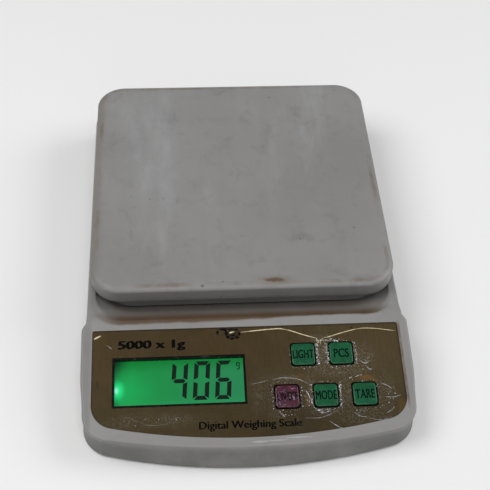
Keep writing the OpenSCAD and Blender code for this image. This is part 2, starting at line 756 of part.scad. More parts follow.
module battery_door() {
    color([0.72, 0.72, 0.69]) {
        translate([-door_half_l, door_front_y, underside_z])
            cube([2 * door_half_l, door_rear_y - door_front_y, door_t]);
        for (x = DOOR_TONGUES) translate([x - 6, door_rear_y - 0.5, underside_z + 0.7])
            cube([12, 2.6, door_t - 0.7]);
        for (k = [0 : 3]) translate([-8, door_front_y + 2.5 + 2 * k, underside_z - 0.4]) cube([16, 0.9, 0.5]);
    }
}

module sensor_cable() {
    color([0.85, 0.85, 0.85]) tube(smooth_route([
        [0, platform_y - cell_s / 2 - 0.1, 11],
        [0, platform_y - cell_s / 2 - 1.6, 11],
        [2, 32, 10],
        [14, 20, 9],
        [34, 2, 9],
        [54, -18, 9],
        [66, -38, 9],
        [67, -56, 8.5],
        [62, -70, 8],
        panel_pt(sensor_plug_u + 2, plug_v + 9, board_bottom_n - 3),
        panel_pt(sensor_plug_u, plug_v + 4.6, board_bottom_n - 2),
        panel_pt(sensor_plug_u, plug_v + 3.1, board_bottom_n - 2)
    ], 6), 1.1);
}

module battery_lead_positive() {
    color([0.75, 0.1, 0.1]) tube(smooth_route([
        [bay_half_l + bay_wall + 0.1, bay_y, 12],
        [bay_half_l + bay_wall + 1.2, bay_y, 12],
        [59.4, -58, 10.5],
        [56, -67, 7.5],
        [44, -70, 6.6],
        panel_pt(battery_plug_u + 2.5, plug_v + 8, board_bottom_n - 3.4),
        panel_pt(battery_plug_u + 1.5, plug_v + 4.4, board_bottom_n - 2),
        panel_pt(battery_plug_u + 1.5, plug_v + 3.1, board_bottom_n - 2)
    ], 6), 0.6);
}

module battery_lead_negative() {
    color([0.08, 0.08, 0.08]) tube(smooth_route([
        [-bay_half_l - bay_wall - 0.1, bay_y, 12],
        [-bay_half_l - bay_wall - 1.2, bay_y, 12],
        [-60, -58, 10.5],
        [-58, -66, 7.5],
        [-40, -67.5, 6.4],
        [-10, -67.5, 6.2],
        [14, -68.5, 6.4],
        panel_pt(battery_plug_u - 3, plug_v + 8, board_bottom_n - 3.4),
        panel_pt(battery_plug_u - 1.5, plug_v + 4.4, board_bottom_n - 2),
        panel_pt(battery_plug_u - 1.5, plug_v + 3.1, board_bottom_n - 2)
    ], 6), 0.6);
}

// ---- Feet and screws ----

module foot(p) {
    color([0.12, 0.12, 0.12]) translate([p[0], p[1], 0]) rotate_extrude() union() {
        square([foot_r - 1, underside_z]);
        translate([0, 1]) square([foot_r, underside_z - 0.5]);
        translate([foot_r - 1, 1]) circle(1);
    }
}

module foot_front_left() { foot(FEET[0]); }
module foot_front_right() { foot(FEET[1]); }
module foot_rear_left() { foot(FEET[2]); }
module foot_rear_right() { foot(FEET[3]); }

module plunger_power() { plunger(key_power_at); }
module plunger_unit() { plunger(key_unit_at); }
module plunger_zero() { plunger(key_zero_at); }
module plunger_light() { plunger(key_light_at); }
module plunger_count() { plunger(key_count_at); }

module case_screws() {
    color([0.6, 0.6, 0.62]) for (p = CASE_SCREWS) translate([p[0], p[1], 0]) {
        translate([0, 0, underside_z + 0.6]) cylinder(r = 2.6, h = 1.8);
        translate([0, 0, underside_z + 2]) cylinder(r = 1.25, h = 10);
    }
}

upper_case();
lower_case();
panel_overlay();
protective_film();
lcd_bezel();
lcd_window();
lcd_gasket();
lcd_glass();
lcd_holder();
backlight_guide();
backlight_reflector();
backlight_led();
zebra_strips();
main_board();
controller_chip();
board_components();
sensor_plug();
battery_plug();
tact_switches();
board_screws();
key_power();
key_unit();
key_zero();
key_light();
key_count();
plunger_power();
plunger_unit();
plunger_zero();
plunger_light();
plunger_count();
load_cell();
strain_gauge_covers();
upper_spacer();
base_cell_screws();
platform_cell_screws();
platform_carrier();
platform_tray();
overload_stops();
sensor_cable();
battery_lead_positive();
battery_lead_negative();
contact_positive();
contact_negative();
battery_cell_left();
battery_cell_right();
battery_door();
case_screws();
foot_front_left();
foot_front_right();
foot_rear_left();
foot_rear_right();
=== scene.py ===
import math
import random

import bmesh
import bpy
import numpy as np
from mathutils import Matrix, Vector, geometry


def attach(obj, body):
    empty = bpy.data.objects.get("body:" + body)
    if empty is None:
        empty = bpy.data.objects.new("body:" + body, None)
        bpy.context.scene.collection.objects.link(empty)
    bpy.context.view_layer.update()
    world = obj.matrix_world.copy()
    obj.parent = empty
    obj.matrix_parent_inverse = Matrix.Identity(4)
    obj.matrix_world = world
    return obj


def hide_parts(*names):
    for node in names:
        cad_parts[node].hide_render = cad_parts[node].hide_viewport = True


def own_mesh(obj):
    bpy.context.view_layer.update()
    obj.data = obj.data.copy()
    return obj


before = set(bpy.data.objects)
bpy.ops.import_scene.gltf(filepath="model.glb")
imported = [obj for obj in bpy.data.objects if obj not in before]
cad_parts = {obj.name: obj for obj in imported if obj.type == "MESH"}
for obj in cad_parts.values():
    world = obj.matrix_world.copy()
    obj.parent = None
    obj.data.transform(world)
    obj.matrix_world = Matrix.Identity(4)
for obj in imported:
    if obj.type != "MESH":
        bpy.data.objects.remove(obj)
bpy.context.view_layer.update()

# Lengths are in millimetres in the part's frame until a mesh is made, which turns them to metres.
MM = 0.001

# The panel's own frame: u to the right, v up the slope, n out of the panel
TILT = math.radians(9.93)
SIN, COS, TAN = math.sin(TILT), math.cos(TILT), math.tan(TILT)
PANEL_Y, PANEL_Z = -57.05, 27.43
BEZEL_N, RECESS_N, SKIN_N = 0.9, -0.4, -2.6
OVERLAY_BOW, OVERLAY_TIP = 365, -118.8
OVERLAY_HALF_W, OVERLAY_R = 83.2, 13

# Housing levels
EDGE_Z, WAIST_Z, RIM_Z, FLOOR_Z, CEILING_Z = 1.8, 13.0, 27.5, 20.4, 18.2

# Dish outlines at two levels: half width, front and rear y, front and rear corner radius
DISH_HIGH, DISH_LOW = (83.3, -52.6, 125.4, 14, 20), (80.7, -40.0, 123.2, 22, 16)
DISH_LOW_Z, DISH_HIGH_Z = 21.9, 30.0
SLOT_HALF_L, SLOT_HALF_W = 44, 12

# Where the housing's top eases down behind the head, its sides step in, and its skin steps down
HEAD_REAR_Y, STEP_REAR_Y = -52.0, -44.5
SHOULDER_Y, SHOULDER_LEN = -56.5, 5.5
SKIN_STEP = (-53.2, -43.2)
CREASE = 1.4

# Display and keys, placed by u and v
LCD_U, LCD_V, LCD_W, LCD_H = -36.9, -30.05, 71.0, 28.3
GLASS_N = -2.82
DIGITS = [("4", -36.9), ("0", -25.1), ("6", -13.3)]
DIGIT_V, DIGIT_W, DIGIT_H, DIGIT_STROKE, DIGIT_SLANT = -29.1, 8.5, 22.0, 2.3, 0.075
KEYS = {
    "power": (19.7, -41.02, "ON/OFF"),
    "unit": (40.38, -41.02, "MODE"),
    "zero": (61.06, -41.02, "TARE"),
    "light": (30.04, -17.21, "LIGHT"),
    "count": (50.72, -17.21, "PCS"),
}
LEGEND_WIDTHS = {"power": 10.4, "unit": 11.2, "zero": 10.2, "light": 11.2, "count": 8.0}
KEY_HOLE, KEY_CAP = 13.9, 12.5

# Load cell
CELL_HALF, CELL_BOTTOM, CELL_TOP = 40.0, 6.5, 19.2
BORE_X, BORE_R, SLIT_HALF = 6.5, 4.6, 1.5

# Platform
PLATFORM_Y = 43.5
TRAY_W, TRAY_LEN, TRAY_TOP, TRAY_BOTTOM = 170.0, 167.0, 41.0, 31.0
TRAY_CORNER_R, TRAY_ROUND_W, TRAY_ROUND_H = 17, 5.2, 2.4
PEG_X, PEG_Y, PEG_R, PEG_TIP = 56, 52, 3.1, 25.0

# Feet and housing screws, as (x, y)
FEET = {"front_left": (-70, -86), "rear_left": (-70, 96), "front_right": (70, -86), "rear_right": (70, 96)}
CASE_SCREWS = [(-76, -110), (-76, 6), (76, -110), (76, 6), (-74, 108), (74, 108)]


# ---------------------------------------------------------------- outlines and meshes


def panel_pt(u, v, n=0.0):
    """A point of the part's frame, given in the panel's frame."""
    return (u, PANEL_Y + v * COS - n * SIN, PANEL_Z + v * SIN + n * COS)


def arc(cx, cy, r, start, end, steps):
    """Points along an arc, angles in degrees."""
    angles = np.radians(np.linspace(start, end, steps + 1))
    return [(cx + r * math.cos(a), cy + r * math.sin(a)) for a in angles]


def bow(half_w, rc, radius, tip):
    """The housing's front: a wide arc blended into the sides by two corners, left to right."""
    xc = half_w - rc
    yc = tip + radius - math.sqrt((radius - rc) ** 2 - xc**2)
    a = math.degrees(math.asin(xc / (radius - rc)))
    left = arc(-xc, yc, rc, 180, 270 - a, 18)
    front = arc(0, tip + radius, radius, 270 - a, 270 + a, 60)[1:-1]
    right = arc(xc, yc, rc, 270 + a, 360, 18)
    return left + front + right


def rounded_box(half_w, y0, y1, r, corner=16, side=6):
    """A rounded rectangle's outline, anticlockwise from the left end of its front edge."""
    x = half_w - r
    corners = [(x, y0 + r, 270), (x, y1 - r, 0), (-x, y1 - r, 90), (-x, y0 + r, 180)]
    pts = []
    for i, (cx, cy, a) in enumerate(corners):
        pts += arc(cx, cy, r, a, a + 90, corner)
        nx, ny, na = corners[(i + 1) % 4]
        start = np.array(pts[-1])
        end = np.array(arc(nx, ny, r, na, na + 90, corner)[0])
        pts += [tuple(start + (end - start) * k / side) for k in range(1, side)]
    return np.array(pts)


def smooth(t):
    t = np.clip(t, 0, 1)
    return t * t * (3 - 2 * t)


def shell_outline(head, base):
    """The housing in plan: bowed head, a soft step in at its rear, then the narrower base.
    head: half widths in front and at the sides, corner radius, bow radius and tip y.
    base: half width, rear y and corner radius."""
    front_w, side_w, rc, radius, tip = head
    base_w, rear, r = base
    front = bow(front_w, rc, radius, tip)
    y0 = front[-1][1]
    flare = np.linspace(y0, -82, 12)[1:]
    step = np.linspace(SHOULDER_Y - 1.5, SHOULDER_Y + SHOULDER_LEN + 1.5, 17)
    back = np.linspace(-44, rear - r, 13)[:-1]
    side = []
    for y in [*flare, -74, -66, -60, *step, *back]:
        x = front_w + (side_w - front_w) * smooth((y - y0) / (-82 - y0))
        x += (base_w - side_w) * smooth((y - SHOULDER_Y) / SHOULDER_LEN)
        side.append((float(x), float(y)))
    corner = arc(base_w - r, rear - r, r, 0, 90, 16)
    span = base_w - r
    middle = [(span * (1 - k / 6), rear) for k in range(1, 12)]
    right = side + corner
    left = [(-x, y) for x, y in reversed(right)]
    return np.array(front + right + middle + left)


def overlay_outline(inset):
    """The brass-coloured overlay in plan."""
    half = OVERLAY_HALF_W - inset
    front = bow(half, OVERLAY_R - inset, OVERLAY_BOW - inset, OVERLAY_TIP + inset)
    r = 1 + max(0, -inset)
    y = PANEL_Y - inset - r
    x = half - r
    right = arc(x, y, r, 0, 90, 6)
    left = [(-a, b) for a, b in reversed(right)]
    top = [(x * (1 - k / 10), PANEL_Y - inset) for k in range(1, 20)]
    return np.array(front + right + top + left)


def offset(loop, d):
    """The same loop moved out by d, along its corners' own normals."""
    ahead, behind = np.roll(loop, -1, 0), np.roll(loop, 1, 0)
    a = ahead - loop
    b = loop - behind
    a /= np.linalg.norm(a, axis=1)[:, None] + 1e-12
    b /= np.linalg.norm(b, axis=1)[:, None] + 1e-12
    t = a + b
    t /= np.linalg.norm(t, axis=1)[:, None]
    return loop + d * np.stack([t[:, 1], -t[:, 0]], 1)


def inside(points, loop):
    """Which points lie inside a closed loop."""
    x, y = points[:, 0], points[:, 1]
    found = np.zeros(len(points), bool)
    for (x0, y0), (x1, y1) in zip(loop, np.roll(loop, -1, 0)):
        crosses = (y0 > y) != (y1 > y)
        if y0 != y1:
            found ^= crosses & (x < (x1 - x0) * (y - y0) / (y1 - y0) + x0)
    return found


def fillet(a, corner, b, steps):
    """Rings that round the corner between ring a and ring b, both included."""
    rings = []
    for t in np.linspace(0, 1, steps + 1):
        rings.append(a * (1 - t) ** 2 + corner * 2 * t * (1 - t) + b * t * t)
    return rings


class Shape:
    """Points and faces gathered in millimetres, then made into one welded Blender mesh."""

    def __init__(self):
        self.points, self.faces = [], []

    def add(self, pts):
        first = len(self.points)
        self.points += [tuple(float(c) for c in p) for p in pts]
        return first

    def loft(self, rings, closed=True):
        starts = [self.add(r) for r in rings]
        count = len(rings[0])
        for a, b in zip(starts, starts[1:]):
            for k in range(count if closed else count - 1):
                j = (k + 1) % count
                self.faces.append((a + k, a + j, b + j, b + k))

    def solid(self, rings):
        """A loft closed at both ends."""
        self.loft(rings)
        self.cap(rings[0])
        self.cap(rings[-1])

    def cap(self, ring):
        first = self.add(ring)
        self.faces.append(tuple(range(first, first + len(ring))))

    def fill(self, outer, holes, height, extra=()):
        """Triangles between plan loops, each point lifted by height(x, y) to a full point."""
        loops = [np.asarray(outer), *[np.asarray(h) for h in holes]]
        coords, edges = [], []
        for loop in loops:
            n0 = len(coords)
            coords += [Vector((float(x), float(y))) for x, y in loop]
            edges += [(n0 + k, n0 + (k + 1) % len(loop)) for k in range(len(loop))]
        coords += [Vector((float(x), float(y))) for x, y in extra]
        made = geometry.delaunay_2d_cdt(coords, edges, [], 0, 1e-5)
        verts = np.array([(v.x, v.y) for v in made[0]])
        tris = np.array([f for f in made[2] if len(f) == 3])
        middle = verts[tris].mean(1)
        keep = inside(middle, loops[0])
        for hole in loops[1:]:
            keep &= ~inside(middle, hole)
        first = self.add([height(x, y) for x, y in verts])
        self.faces += [tuple(int(i) + first for i in t) for t in tris[keep]]

    def tube(self, path, radius, sides=10):
        """A round bar along a path of points, closed at both ends."""
        rings = []
        path = [Vector(p) for p in path]
        for i, p in enumerate(path):
            along = (path[min(i + 1, len(path) - 1)] - path[max(i - 1, 0)]).normalized()
            ref = Vector((0, 0, 1)) if abs(along.z) < 0.9 else Vector((1, 0, 0))
            a = ref.cross(along).normalized()
            b = along.cross(a)
            turn = [2 * math.pi * k / sides for k in range(sides)]
            r = radius[i] if isinstance(radius, (list, tuple)) else radius
            rings.append(np.array([p + r * (math.cos(t) * a + math.sin(t) * b) for t in turn]))
        self.solid(rings)

    def build(self, name, sharp=35.0, weld=0.002):
        """One mesh in metres: near points joined, faces outwards, edges past sharp degrees creased."""
        mesh = bpy.data.meshes.new(name)
        bm = bmesh.new()
        verts = [bm.verts.new([c * MM for c in p]) for p in self.points]
        for f in self.faces:
            if len(set(f)) > 2:
                bm.faces.new([verts[i] for i in f])
        bmesh.ops.remove_doubles(bm, verts=bm.verts, dist=weld * MM)
        bmesh.ops.dissolve_degenerate(bm, edges=bm.edges, dist=1e-8)
        bmesh.ops.recalc_face_normals(bm, faces=bm.faces)
        for f in bm.faces:
            f.smooth = True
        bm.to_mesh(mesh)
        bm.free()
        mesh.set_sharp_from_angle(angle=math.radians(sharp))
        piece = bpy.data.objects.new(name, mesh)
        bpy.context.scene.collection.objects.link(piece)
        return piece


def finish_piece(piece, material, body, slot, *replaced):
    """Gives a piece its material and the body it rides on, and hides the CAD nodes it stands for. Its slot
    argument is not used.
    """
    piece.data.materials.append(material)
    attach(piece, body)
    if replaced:
        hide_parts(*replaced)
    return piece


# ---------------------------------------------------------------- material nodes


def linear(r, g, b):
    """An sRGB colour, 0 to 255, as the linear colour that shaders take."""

    def one(c):
        c /= 255
        return c / 12.92 if c <= 0.04045 else ((c + 0.055) / 1.055) ** 2.4

    return (one(r), one(g), one(b), 1.0)


class Nodes:
    """A material's node tree, built from small steps that each return an output socket."""

    def __init__(self, name):
        self.material = bpy.data.materials.new(name)
        self.material.use_nodes = True
        self.tree = self.material.node_tree
        self.tree.nodes.clear()
        self.place = self.node("ShaderNodeTexCoord").outputs["Object"]

    def node(self, kind, values=None, **settings):
        n = self.tree.nodes.new(kind)
        for key, value in settings.items():
            setattr(n, key, value)
        for key, value in (values or {}).items():
            self.put(n.inputs[key], value)
        return n

    def put(self, socket, value):
        if isinstance(value, bpy.types.NodeSocket):
            self.tree.links.new(value, socket)
        else:
            socket.default_value = value

    def noise(self, scale, detail=3.0, rough=0.5, stretch=(1, 1, 1), seed=0.0, warp=0.0):
        """Noise from 0 to 1; scale is in features a metre."""
        moved = self.node(
            "ShaderNodeMapping",
            {"Vector": self.place, "Scale": stretch, "Location": (seed, seed * 1.7, seed * 0.6)},
        ).outputs[0]
        values = {"Vector": moved, "Scale": scale, "Detail": detail, "Roughness": rough}
        return self.node("ShaderNodeTexNoise", {**values, "Distortion": warp}).outputs["Fac"]

    def cells(self, scale, seed=0.0, feature="F1"):
        moved = self.node(
            "ShaderNodeMapping", {"Vector": self.place, "Location": (seed, seed, seed)}
        ).outputs[0]
        n = self.node("ShaderNodeTexVoronoi", {"Vector": moved, "Scale": scale}, feature=feature)
        return n.outputs["Distance"]

    def math(self, operation, *values, clamp=False):
        n = self.node("ShaderNodeMath", operation=operation, use_clamp=clamp)
        for socket, value in zip(n.inputs, values):
            self.put(socket, value)
        return n.outputs[0]

    def span(self, value, low, high, to_low=0.0, to_high=1.0, soft=True):
        """value mapped from low..high to to_low..to_high, held at the ends."""
        kind = "SMOOTHSTEP" if soft else "LINEAR"
        n = self.node("ShaderNodeMapRange", interpolation_type=kind)
        for key, v in zip((0, 1, 2, 3, 4), (value, low, high, to_low, to_high)):
            self.put(n.inputs[key], v)
        return n.outputs[0]

    def mix(self, share, a, b, blend="MIX"):
        n = self.node("ShaderNodeMix", data_type="RGBA", blend_type=blend)
        for key, v in (("Factor_Float", share), ("A_Color", a), ("B_Color", b)):
            self.put(next(s for s in n.inputs if s.identifier == key), v)
        return next(s for s in n.outputs if s.identifier == "Result_Color")

    def axis(self, i):
        return self.node("ShaderNodeSeparateXYZ", {"Vector": self.place}).outputs[i]

    x = property(lambda self: self.axis(0))
    y = property(lambda self: self.axis(1))
    z = property(lambda self: self.axis(2))

    def times(self, a, b, *more):
        product = self.math("MULTIPLY", a, b)
        return self.times(product, *more) if more else product

    def plus(self, a, b):
        return self.math("ADD", a, b)

    def minus(self, a, b):
        return self.math("SUBTRACT", a, b)

    def most(self, a, b):
        return self.math("MAXIMUM", a, b)

    def size(self, value):
        return self.math("ABSOLUTE", value)

    def over(self, base, colour, mask, strength):
        """base with a colour laid over it where mask is 1, at the given strength."""
        return self.mix(self.times(mask, strength), base, colour)

    def bump(self, height, depth, under=None):
        """A bump whose full height is depth metres."""
        values = {"Strength": 1.0, "Distance": depth, "Height": height}
        if under is not None:
            values["Normal"] = under
        return self.node("ShaderNodeBump", values).outputs[0]

    def spot(self, centre, size, edge=0.35, ragged=0.5, scale=300.0, seed=0.0):
        """1 within an uneven blot round centre (mm), with half sizes (mm) along x, y and z."""
        start = [-c / s for c, s in zip(centre, size)]
        grow = [1 / (s * MM) for s in size]
        near = self.node(
            "ShaderNodeMapping", {"Vector": self.place, "Location": start, "Scale": grow}
        ).outputs[0]
        away = self.node("ShaderNodeVectorMath", {0: near}, operation="LENGTH").outputs["Value"]
        frayed = self.math("MULTIPLY_ADD", self.noise(scale, 4, 0.6, seed=seed), ragged, -ragged / 2)
        return self.span(self.math("ADD", away, frayed), 1 + edge, 1 - edge)

    def shader(self, tone, rough, skin=None, more=None):
        values = {"Base Color": tone, "Roughness": rough, **(more or {})}
        if skin is not None:
            values["Normal"] = skin
        n = self.node("ShaderNodeBsdfPrincipled", values)
        out = self.node("ShaderNodeOutputMaterial", {"Surface": n.outputs[0]})
        out.is_active_output = True
        return self.material


def scaled(colour, k):
    return (colour[0] * k, colour[1] * k, colour[2] * k, 1.0)


def aged_plastic(name, colour, rough=0.42, dirt_and_painted_light=(), seed=0.0, grain=0.00002, speck=0.5, grime=0.3):
    """Used moulded plastic: uneven tone, small dark specks, rubbed gloss and a fine grain.
    dirt_and_painted_light holds (colour, function that makes the mask from the nodes, strength): stains
    and grime, with painted shade and highlights in places."""
    n = Nodes(name)
    blotch = n.span(n.noise(14, 4, 0.6, seed=seed), 0.3, 0.7)
    tone = n.mix(blotch, scaled(colour, 0.93), scaled(colour, 1.05))
    smear = n.span(n.noise(70, 6, 0.7, seed=seed + 3, warp=0.6), 0.5, 0.74)
    tone = n.over(tone, scaled(colour, 0.66), smear, grime)
    streak = n.span(n.noise(120, 3, 0.6, (1, 0.08, 1), seed + 5), 0.56, 0.8)
    tone = n.over(tone, scaled(colour, 0.7), streak, 0.16)
    dots = n.span(n.cells(150, seed), 0.11, 0.05)
    rare = n.span(n.noise(43, 2, 0.5, seed=seed + 8), 0.58, 0.66)
    dots = n.times(dots, rare)
    tone = n.over(tone, linear(70, 60, 48), dots, speck)
    for tint, mask, strength in dirt_and_painted_light:
        tone = n.over(tone, tint, mask(n), strength)
    rubbed = n.span(n.noise(45, 5, 0.7, seed=seed + 12), 0.3, 0.7, rough - 0.04, rough + 0.05)
    height = n.math("MULTIPLY_ADD", n.noise(2600, 2, 0.5, seed=seed), 0.7, 0.3)
    skin = n.bump(height, grain)
    scratch = n.span(n.noise(900, 2, 0.6, (1, 0.02, 1), seed + 20), 0.66, 0.72)
    skin = n.bump(n.times(scratch, -1.0), 0.00001, skin)
    return n.shader(tone, rubbed, skin)


def fine_plastic(name, colour, rough=0.5, grain=0.00002, scale=1800, vary=0.12, seed=0.0, gloss=0.5):
    """Plain moulded or rubber parts: fine grain with a little unevenness."""
    n = Nodes(name)
    tone = n.mix(n.noise(90, 4, 0.6, seed=seed), scaled(colour, 1 - vary), scaled(colour, 1 + vary))
    dust = n.span(n.noise(240, 5, 0.7, seed=seed + 4), 0.55, 0.8)
    tone = n.over(tone, linear(150, 146, 138), dust, 0.12)
    rub = n.span(n.noise(150, 3, 0.6, seed=seed + 2), 0.3, 0.7, rough - 0.08, rough + 0.08)
    skin = n.bump(n.noise(scale, 3, 0.6, seed=seed), grain)
    return n.shader(tone, rub, skin, {"Specular IOR Level": gloss})


def metal(name, colour, rough=0.32, brushed=(1, 0.05, 1), seed=0.0):
    n = Nodes(name)
    lines = n.noise(1500, 3, 0.6, brushed, seed)
    tone = n.mix(lines, scaled(colour, 0.82), scaled(colour, 1.08))
    dull = n.span(n.noise(160, 5, 0.7, seed=seed + 2), 0.5, 0.72)
    tone = n.over(tone, scaled(colour, 0.5), dull, 0.35)
    rub = n.span(lines, 0.3, 0.7, rough - 0.08, rough + 0.12)
    skin = n.bump(lines, 0.00001)
    return n.shader(tone, rub, skin, {"Metallic": 1.0})


def clear(name, colour, alpha, rough, haze=0.0):
    """Thin clear plastic: mostly see-through, with haze in patches and faint waves."""
    n = Nodes(name)
    cloud = n.span(n.noise(160, 5, 0.7), 0.5, 0.75, alpha, alpha + haze)
    tone = n.mix(n.noise(60, 3, seed=1), scaled(colour, 0.9), colour)
    skin = n.bump(n.noise(70, 3, 0.5, seed=6), 0.00004)
    return n.shader(tone, rough, skin, {"Alpha": cloud})


# ---------------------------------------------------------------- particular materials
# Masks compare the mesh's own coordinates, so their limits are in metres.


def world_spot(x, y, z, wide, high, **more):
    """A mask function for a blot at a point of the part's frame."""
    return lambda n: n.spot((x, y, z), (wide, high, 6), **more)


def above_panel(n):
    """Height above the overlay's plane, in metres."""
    up = n.minus(n.z, n.times(n.y, TAN))
    return n.minus(up, (PANEL_Z - PANEL_Y * TAN) * MM)


def on_overlay(n):
    """1 within the overlay's bowed outline in plan."""
    deep = n.plus(n.y, -(OVERLAY_TIP + OVERLAY_BOW) * MM)
    away = n.math("SQRT", n.plus(n.times(n.x, n.x), n.times(deep, deep)))
    front = n.math("LESS_THAN", away, (OVERLAY_BOW + 0.5) * MM)
    sides = n.math("LESS_THAN", n.size(n.x), (OVERLAY_HALF_W + 0.4) * MM)
    rear = n.span(n.y, -0.0500, -0.0560)
    return n.times(front, sides, rear)


def front_highlight(n):
    """Pale streaks on the bezel in front of the overlay: painted highlights."""
    total = 0.0
    for x, y, wide, high in ((4, -121.6, 4.2, 0.5), (13, -121.2, 5.5, 0.3), (24, -120.0, 6.0, 0.3)):
        mask = n.spot((x, y, 17), (wide, high, 8), 0.5, 1.2, 420, x)
        total = n.most(mask, total)
    return total


def slope_grime_and_shade(n):
    """Brown grime and painted shade in the slope behind the head, under the tray, heaviest against its
    rim.
    """
    across = n.most(n.minus(n.size(n.x), 0.0693), 0.0)
    ahead = n.most(n.minus(-0.0386, n.y), 0.0)
    away = n.math("SQRT", n.math("MULTIPLY_ADD", across, across, n.times(ahead, ahead)))
    ragged = n.times(n.minus(n.noise(90, 4, 0.6, seed=8), 0.5), 0.0022)
    edge = n.plus(n.plus(away, ragged), n.span(n.x, -0.03, 0.05, -0.0012, 0.0012))
    rim = n.span(edge, 0.0150, 0.0132)
    deep = n.times(n.span(n.y, -0.0500, -0.0415, 1.0, 0.4), n.span(n.y, 0.012, -0.03))
    patch = n.span(n.noise(26, 4, 0.6, seed=2), 0.25, 0.6, 0.86, 1.0)
    ends = n.span(n.size(n.x), 0.082, 0.066, 0.35, 1.0)
    return n.times(rim, deep, patch, ends)


def recess_lip_shade(n):
    """Brown line of painted shade down the recess lip, against the overlay's edge."""
    low = n.span(above_panel(n), 0.00085, 0.0003)
    return n.times(low, on_overlay(n))


def hole_wall(n):
    """Shadow and dirt down the sides of the key and display holes."""
    low = n.span(above_panel(n), -0.0004, -0.0007)
    return n.times(low, on_overlay(n))


def right_rim(n):
    """A broken brown line on the bezel, just outside the overlay's right edge."""
    line = n.span(n.size(n.minus(n.x, (OVERLAY_HALF_W + 0.6) * MM)), 0.0011, 0.0003)
    long = n.times(n.span(n.y, -0.108, -0.100), n.span(n.y, -0.055, -0.060))
    ragged = n.span(n.noise(160, 4, 0.6), 0.25, 0.55, 0.35, 1.0)
    return n.times(line, long, ragged)


def lower_wall(n):
    """Grey darkening towards the bottom of the outside walls, in patches, strongest at the front."""
    patch = n.span(n.noise(50, 5, 0.65, seed=21), 0.25, 0.7, 0.5, 1.0)
    front = n.span(n.y, -0.085, -0.055, 1.0, 0.4)
    return n.times(n.span(n.z, 0.0185, 0.0120), patch, front)


def left_edge_shade(n):
    """Painted shade greying the bezel's left edge."""
    return n.times(n.span(n.x, -0.0825, -0.0850), n.span(n.y, -0.045, -0.060))


def case_material():
    # Marks over the case's tone: grime and stains, with painted shade on the left edge, in the slope, down
    # the recess lip and holes, and a painted highlight on the front bezel.
    dirt_and_painted_light = [
        (linear(80, 80, 76), lower_wall, 0.7),
        (linear(100, 98, 94), left_edge_shade, 0.4),
        (linear(84, 66, 47), slope_grime_and_shade, 1.0),
        (linear(74, 52, 38), recess_lip_shade, 0.8),
        (linear(16, 14, 11), hole_wall, 0.95),
        (linear(92, 68, 52), right_rim, 0.75),
        (linear(120, 84, 66), world_spot(-87.5, -98, 14, 3.5, 7, ragged=0.9), 0.35),
        (linear(180, 180, 182), front_highlight, 0.55),
    ]
    return aged_plastic("case_plastic_aged", CASE_TONE, 0.4, dirt_and_painted_light, seed=1.0)


def tray_material():
    """The tray's plastic, with its stains, its rim line and the marks of wiping."""
    # Stains, wiping marks and side greying, with painted shade along the tray's left edge.
    dirt_and_painted_light = [
        (linear(80, 58, 28), world_spot(17, -35.2, 41, 5.0, 1.3, ragged=1.8, scale=520), 0.85),
        (linear(96, 78, 52), world_spot(18, -35.0, 41, 8.5, 2.6, edge=0.8, ragged=1.2, scale=300), 0.35),
        (linear(104, 84, 62), tray_rim_line, 0.55),
        (linear(60, 46, 32), world_spot(-23, -37.8, 41, 1.0, 0.7, ragged=1.0, scale=700), 0.6),
        (linear(70, 55, 40), world_spot(-11.7, -35.6, 41, 0.7, 0.6, ragged=1.0, scale=700), 0.5),
        (linear(96, 84, 66), world_spot(48, 20, 41, 40, 60, edge=0.9, scale=30), 0.10),
        (linear(96, 84, 66), world_spot(-60, -20, 41, 26, 26, edge=0.9, scale=40), 0.10),
        (linear(84, 80, 70), tray_side_darkening, 0.35),
        (linear(104, 88, 66), tray_left_shade, 0.3),
        (linear(156, 156, 158), tray_wipes, 0.5),
    ]
    return aged_plastic("tray_plastic_aged", TRAY_TONE, 0.48, dirt_and_painted_light, seed=6.0, speck=0.7, grime=0.55)


def tray_rim_line(n):
    """A broken brown line where the top rolls over into the shoulder."""
    up = n.times(n.span(n.z, 0.0403, 0.0407), n.span(n.z, 0.040995, 0.04094))
    broken = n.span(n.noise(34, 5, 0.7, seed=14), 0.42, 0.66)
    return n.times(up, broken)


def tray_left_shade(n):
    """A warm painted shade along the tray's left edge."""
    return n.span(n.x, -0.0775, -0.0835)


def tray_wipes(n):
    """Pale marks of a cloth, drawn out from front to rear."""
    wide = n.span(n.noise(30, 4, 0.6, (1, 0.25, 1), 17, 0.4), 0.5, 0.72)
    fine = n.span(n.noise(260, 4, 0.7, (1, 0.3, 1), 19), 0.35, 0.7, 0.4, 1.0)
    return n.times(wide, fine)


def tray_side_darkening(n):
    """Grey darkening in patches, growing towards the tray's lower edge."""
    low = n.span(n.z, 0.0385, 0.031)
    patch = n.span(n.noise(60, 5, 0.65, seed=9), 0.3, 0.7, 0.35, 1.0)
    return n.times(low, patch)


def skirt_shade(n):
    """Grime and painted shade on the skirt under the tray, heavier towards its foot."""
    patch = n.span(n.noise(40, 5, 0.65, seed=3), 0.25, 0.7, 0.5, 1.0)
    return n.times(n.span(n.z, 0.033, 0.025), patch)


def skirt_material():
    dirt_and_painted_light = [(linear(58, 58, 46), skirt_shade, 0.35)]
    # Its tone is made lighter than the case's: painted light in the shade under the tray.
    return aged_plastic("skirt_plastic_aged", scaled(CASE_TONE, 1.05), 0.5, dirt_and_painted_light, seed=4.0)


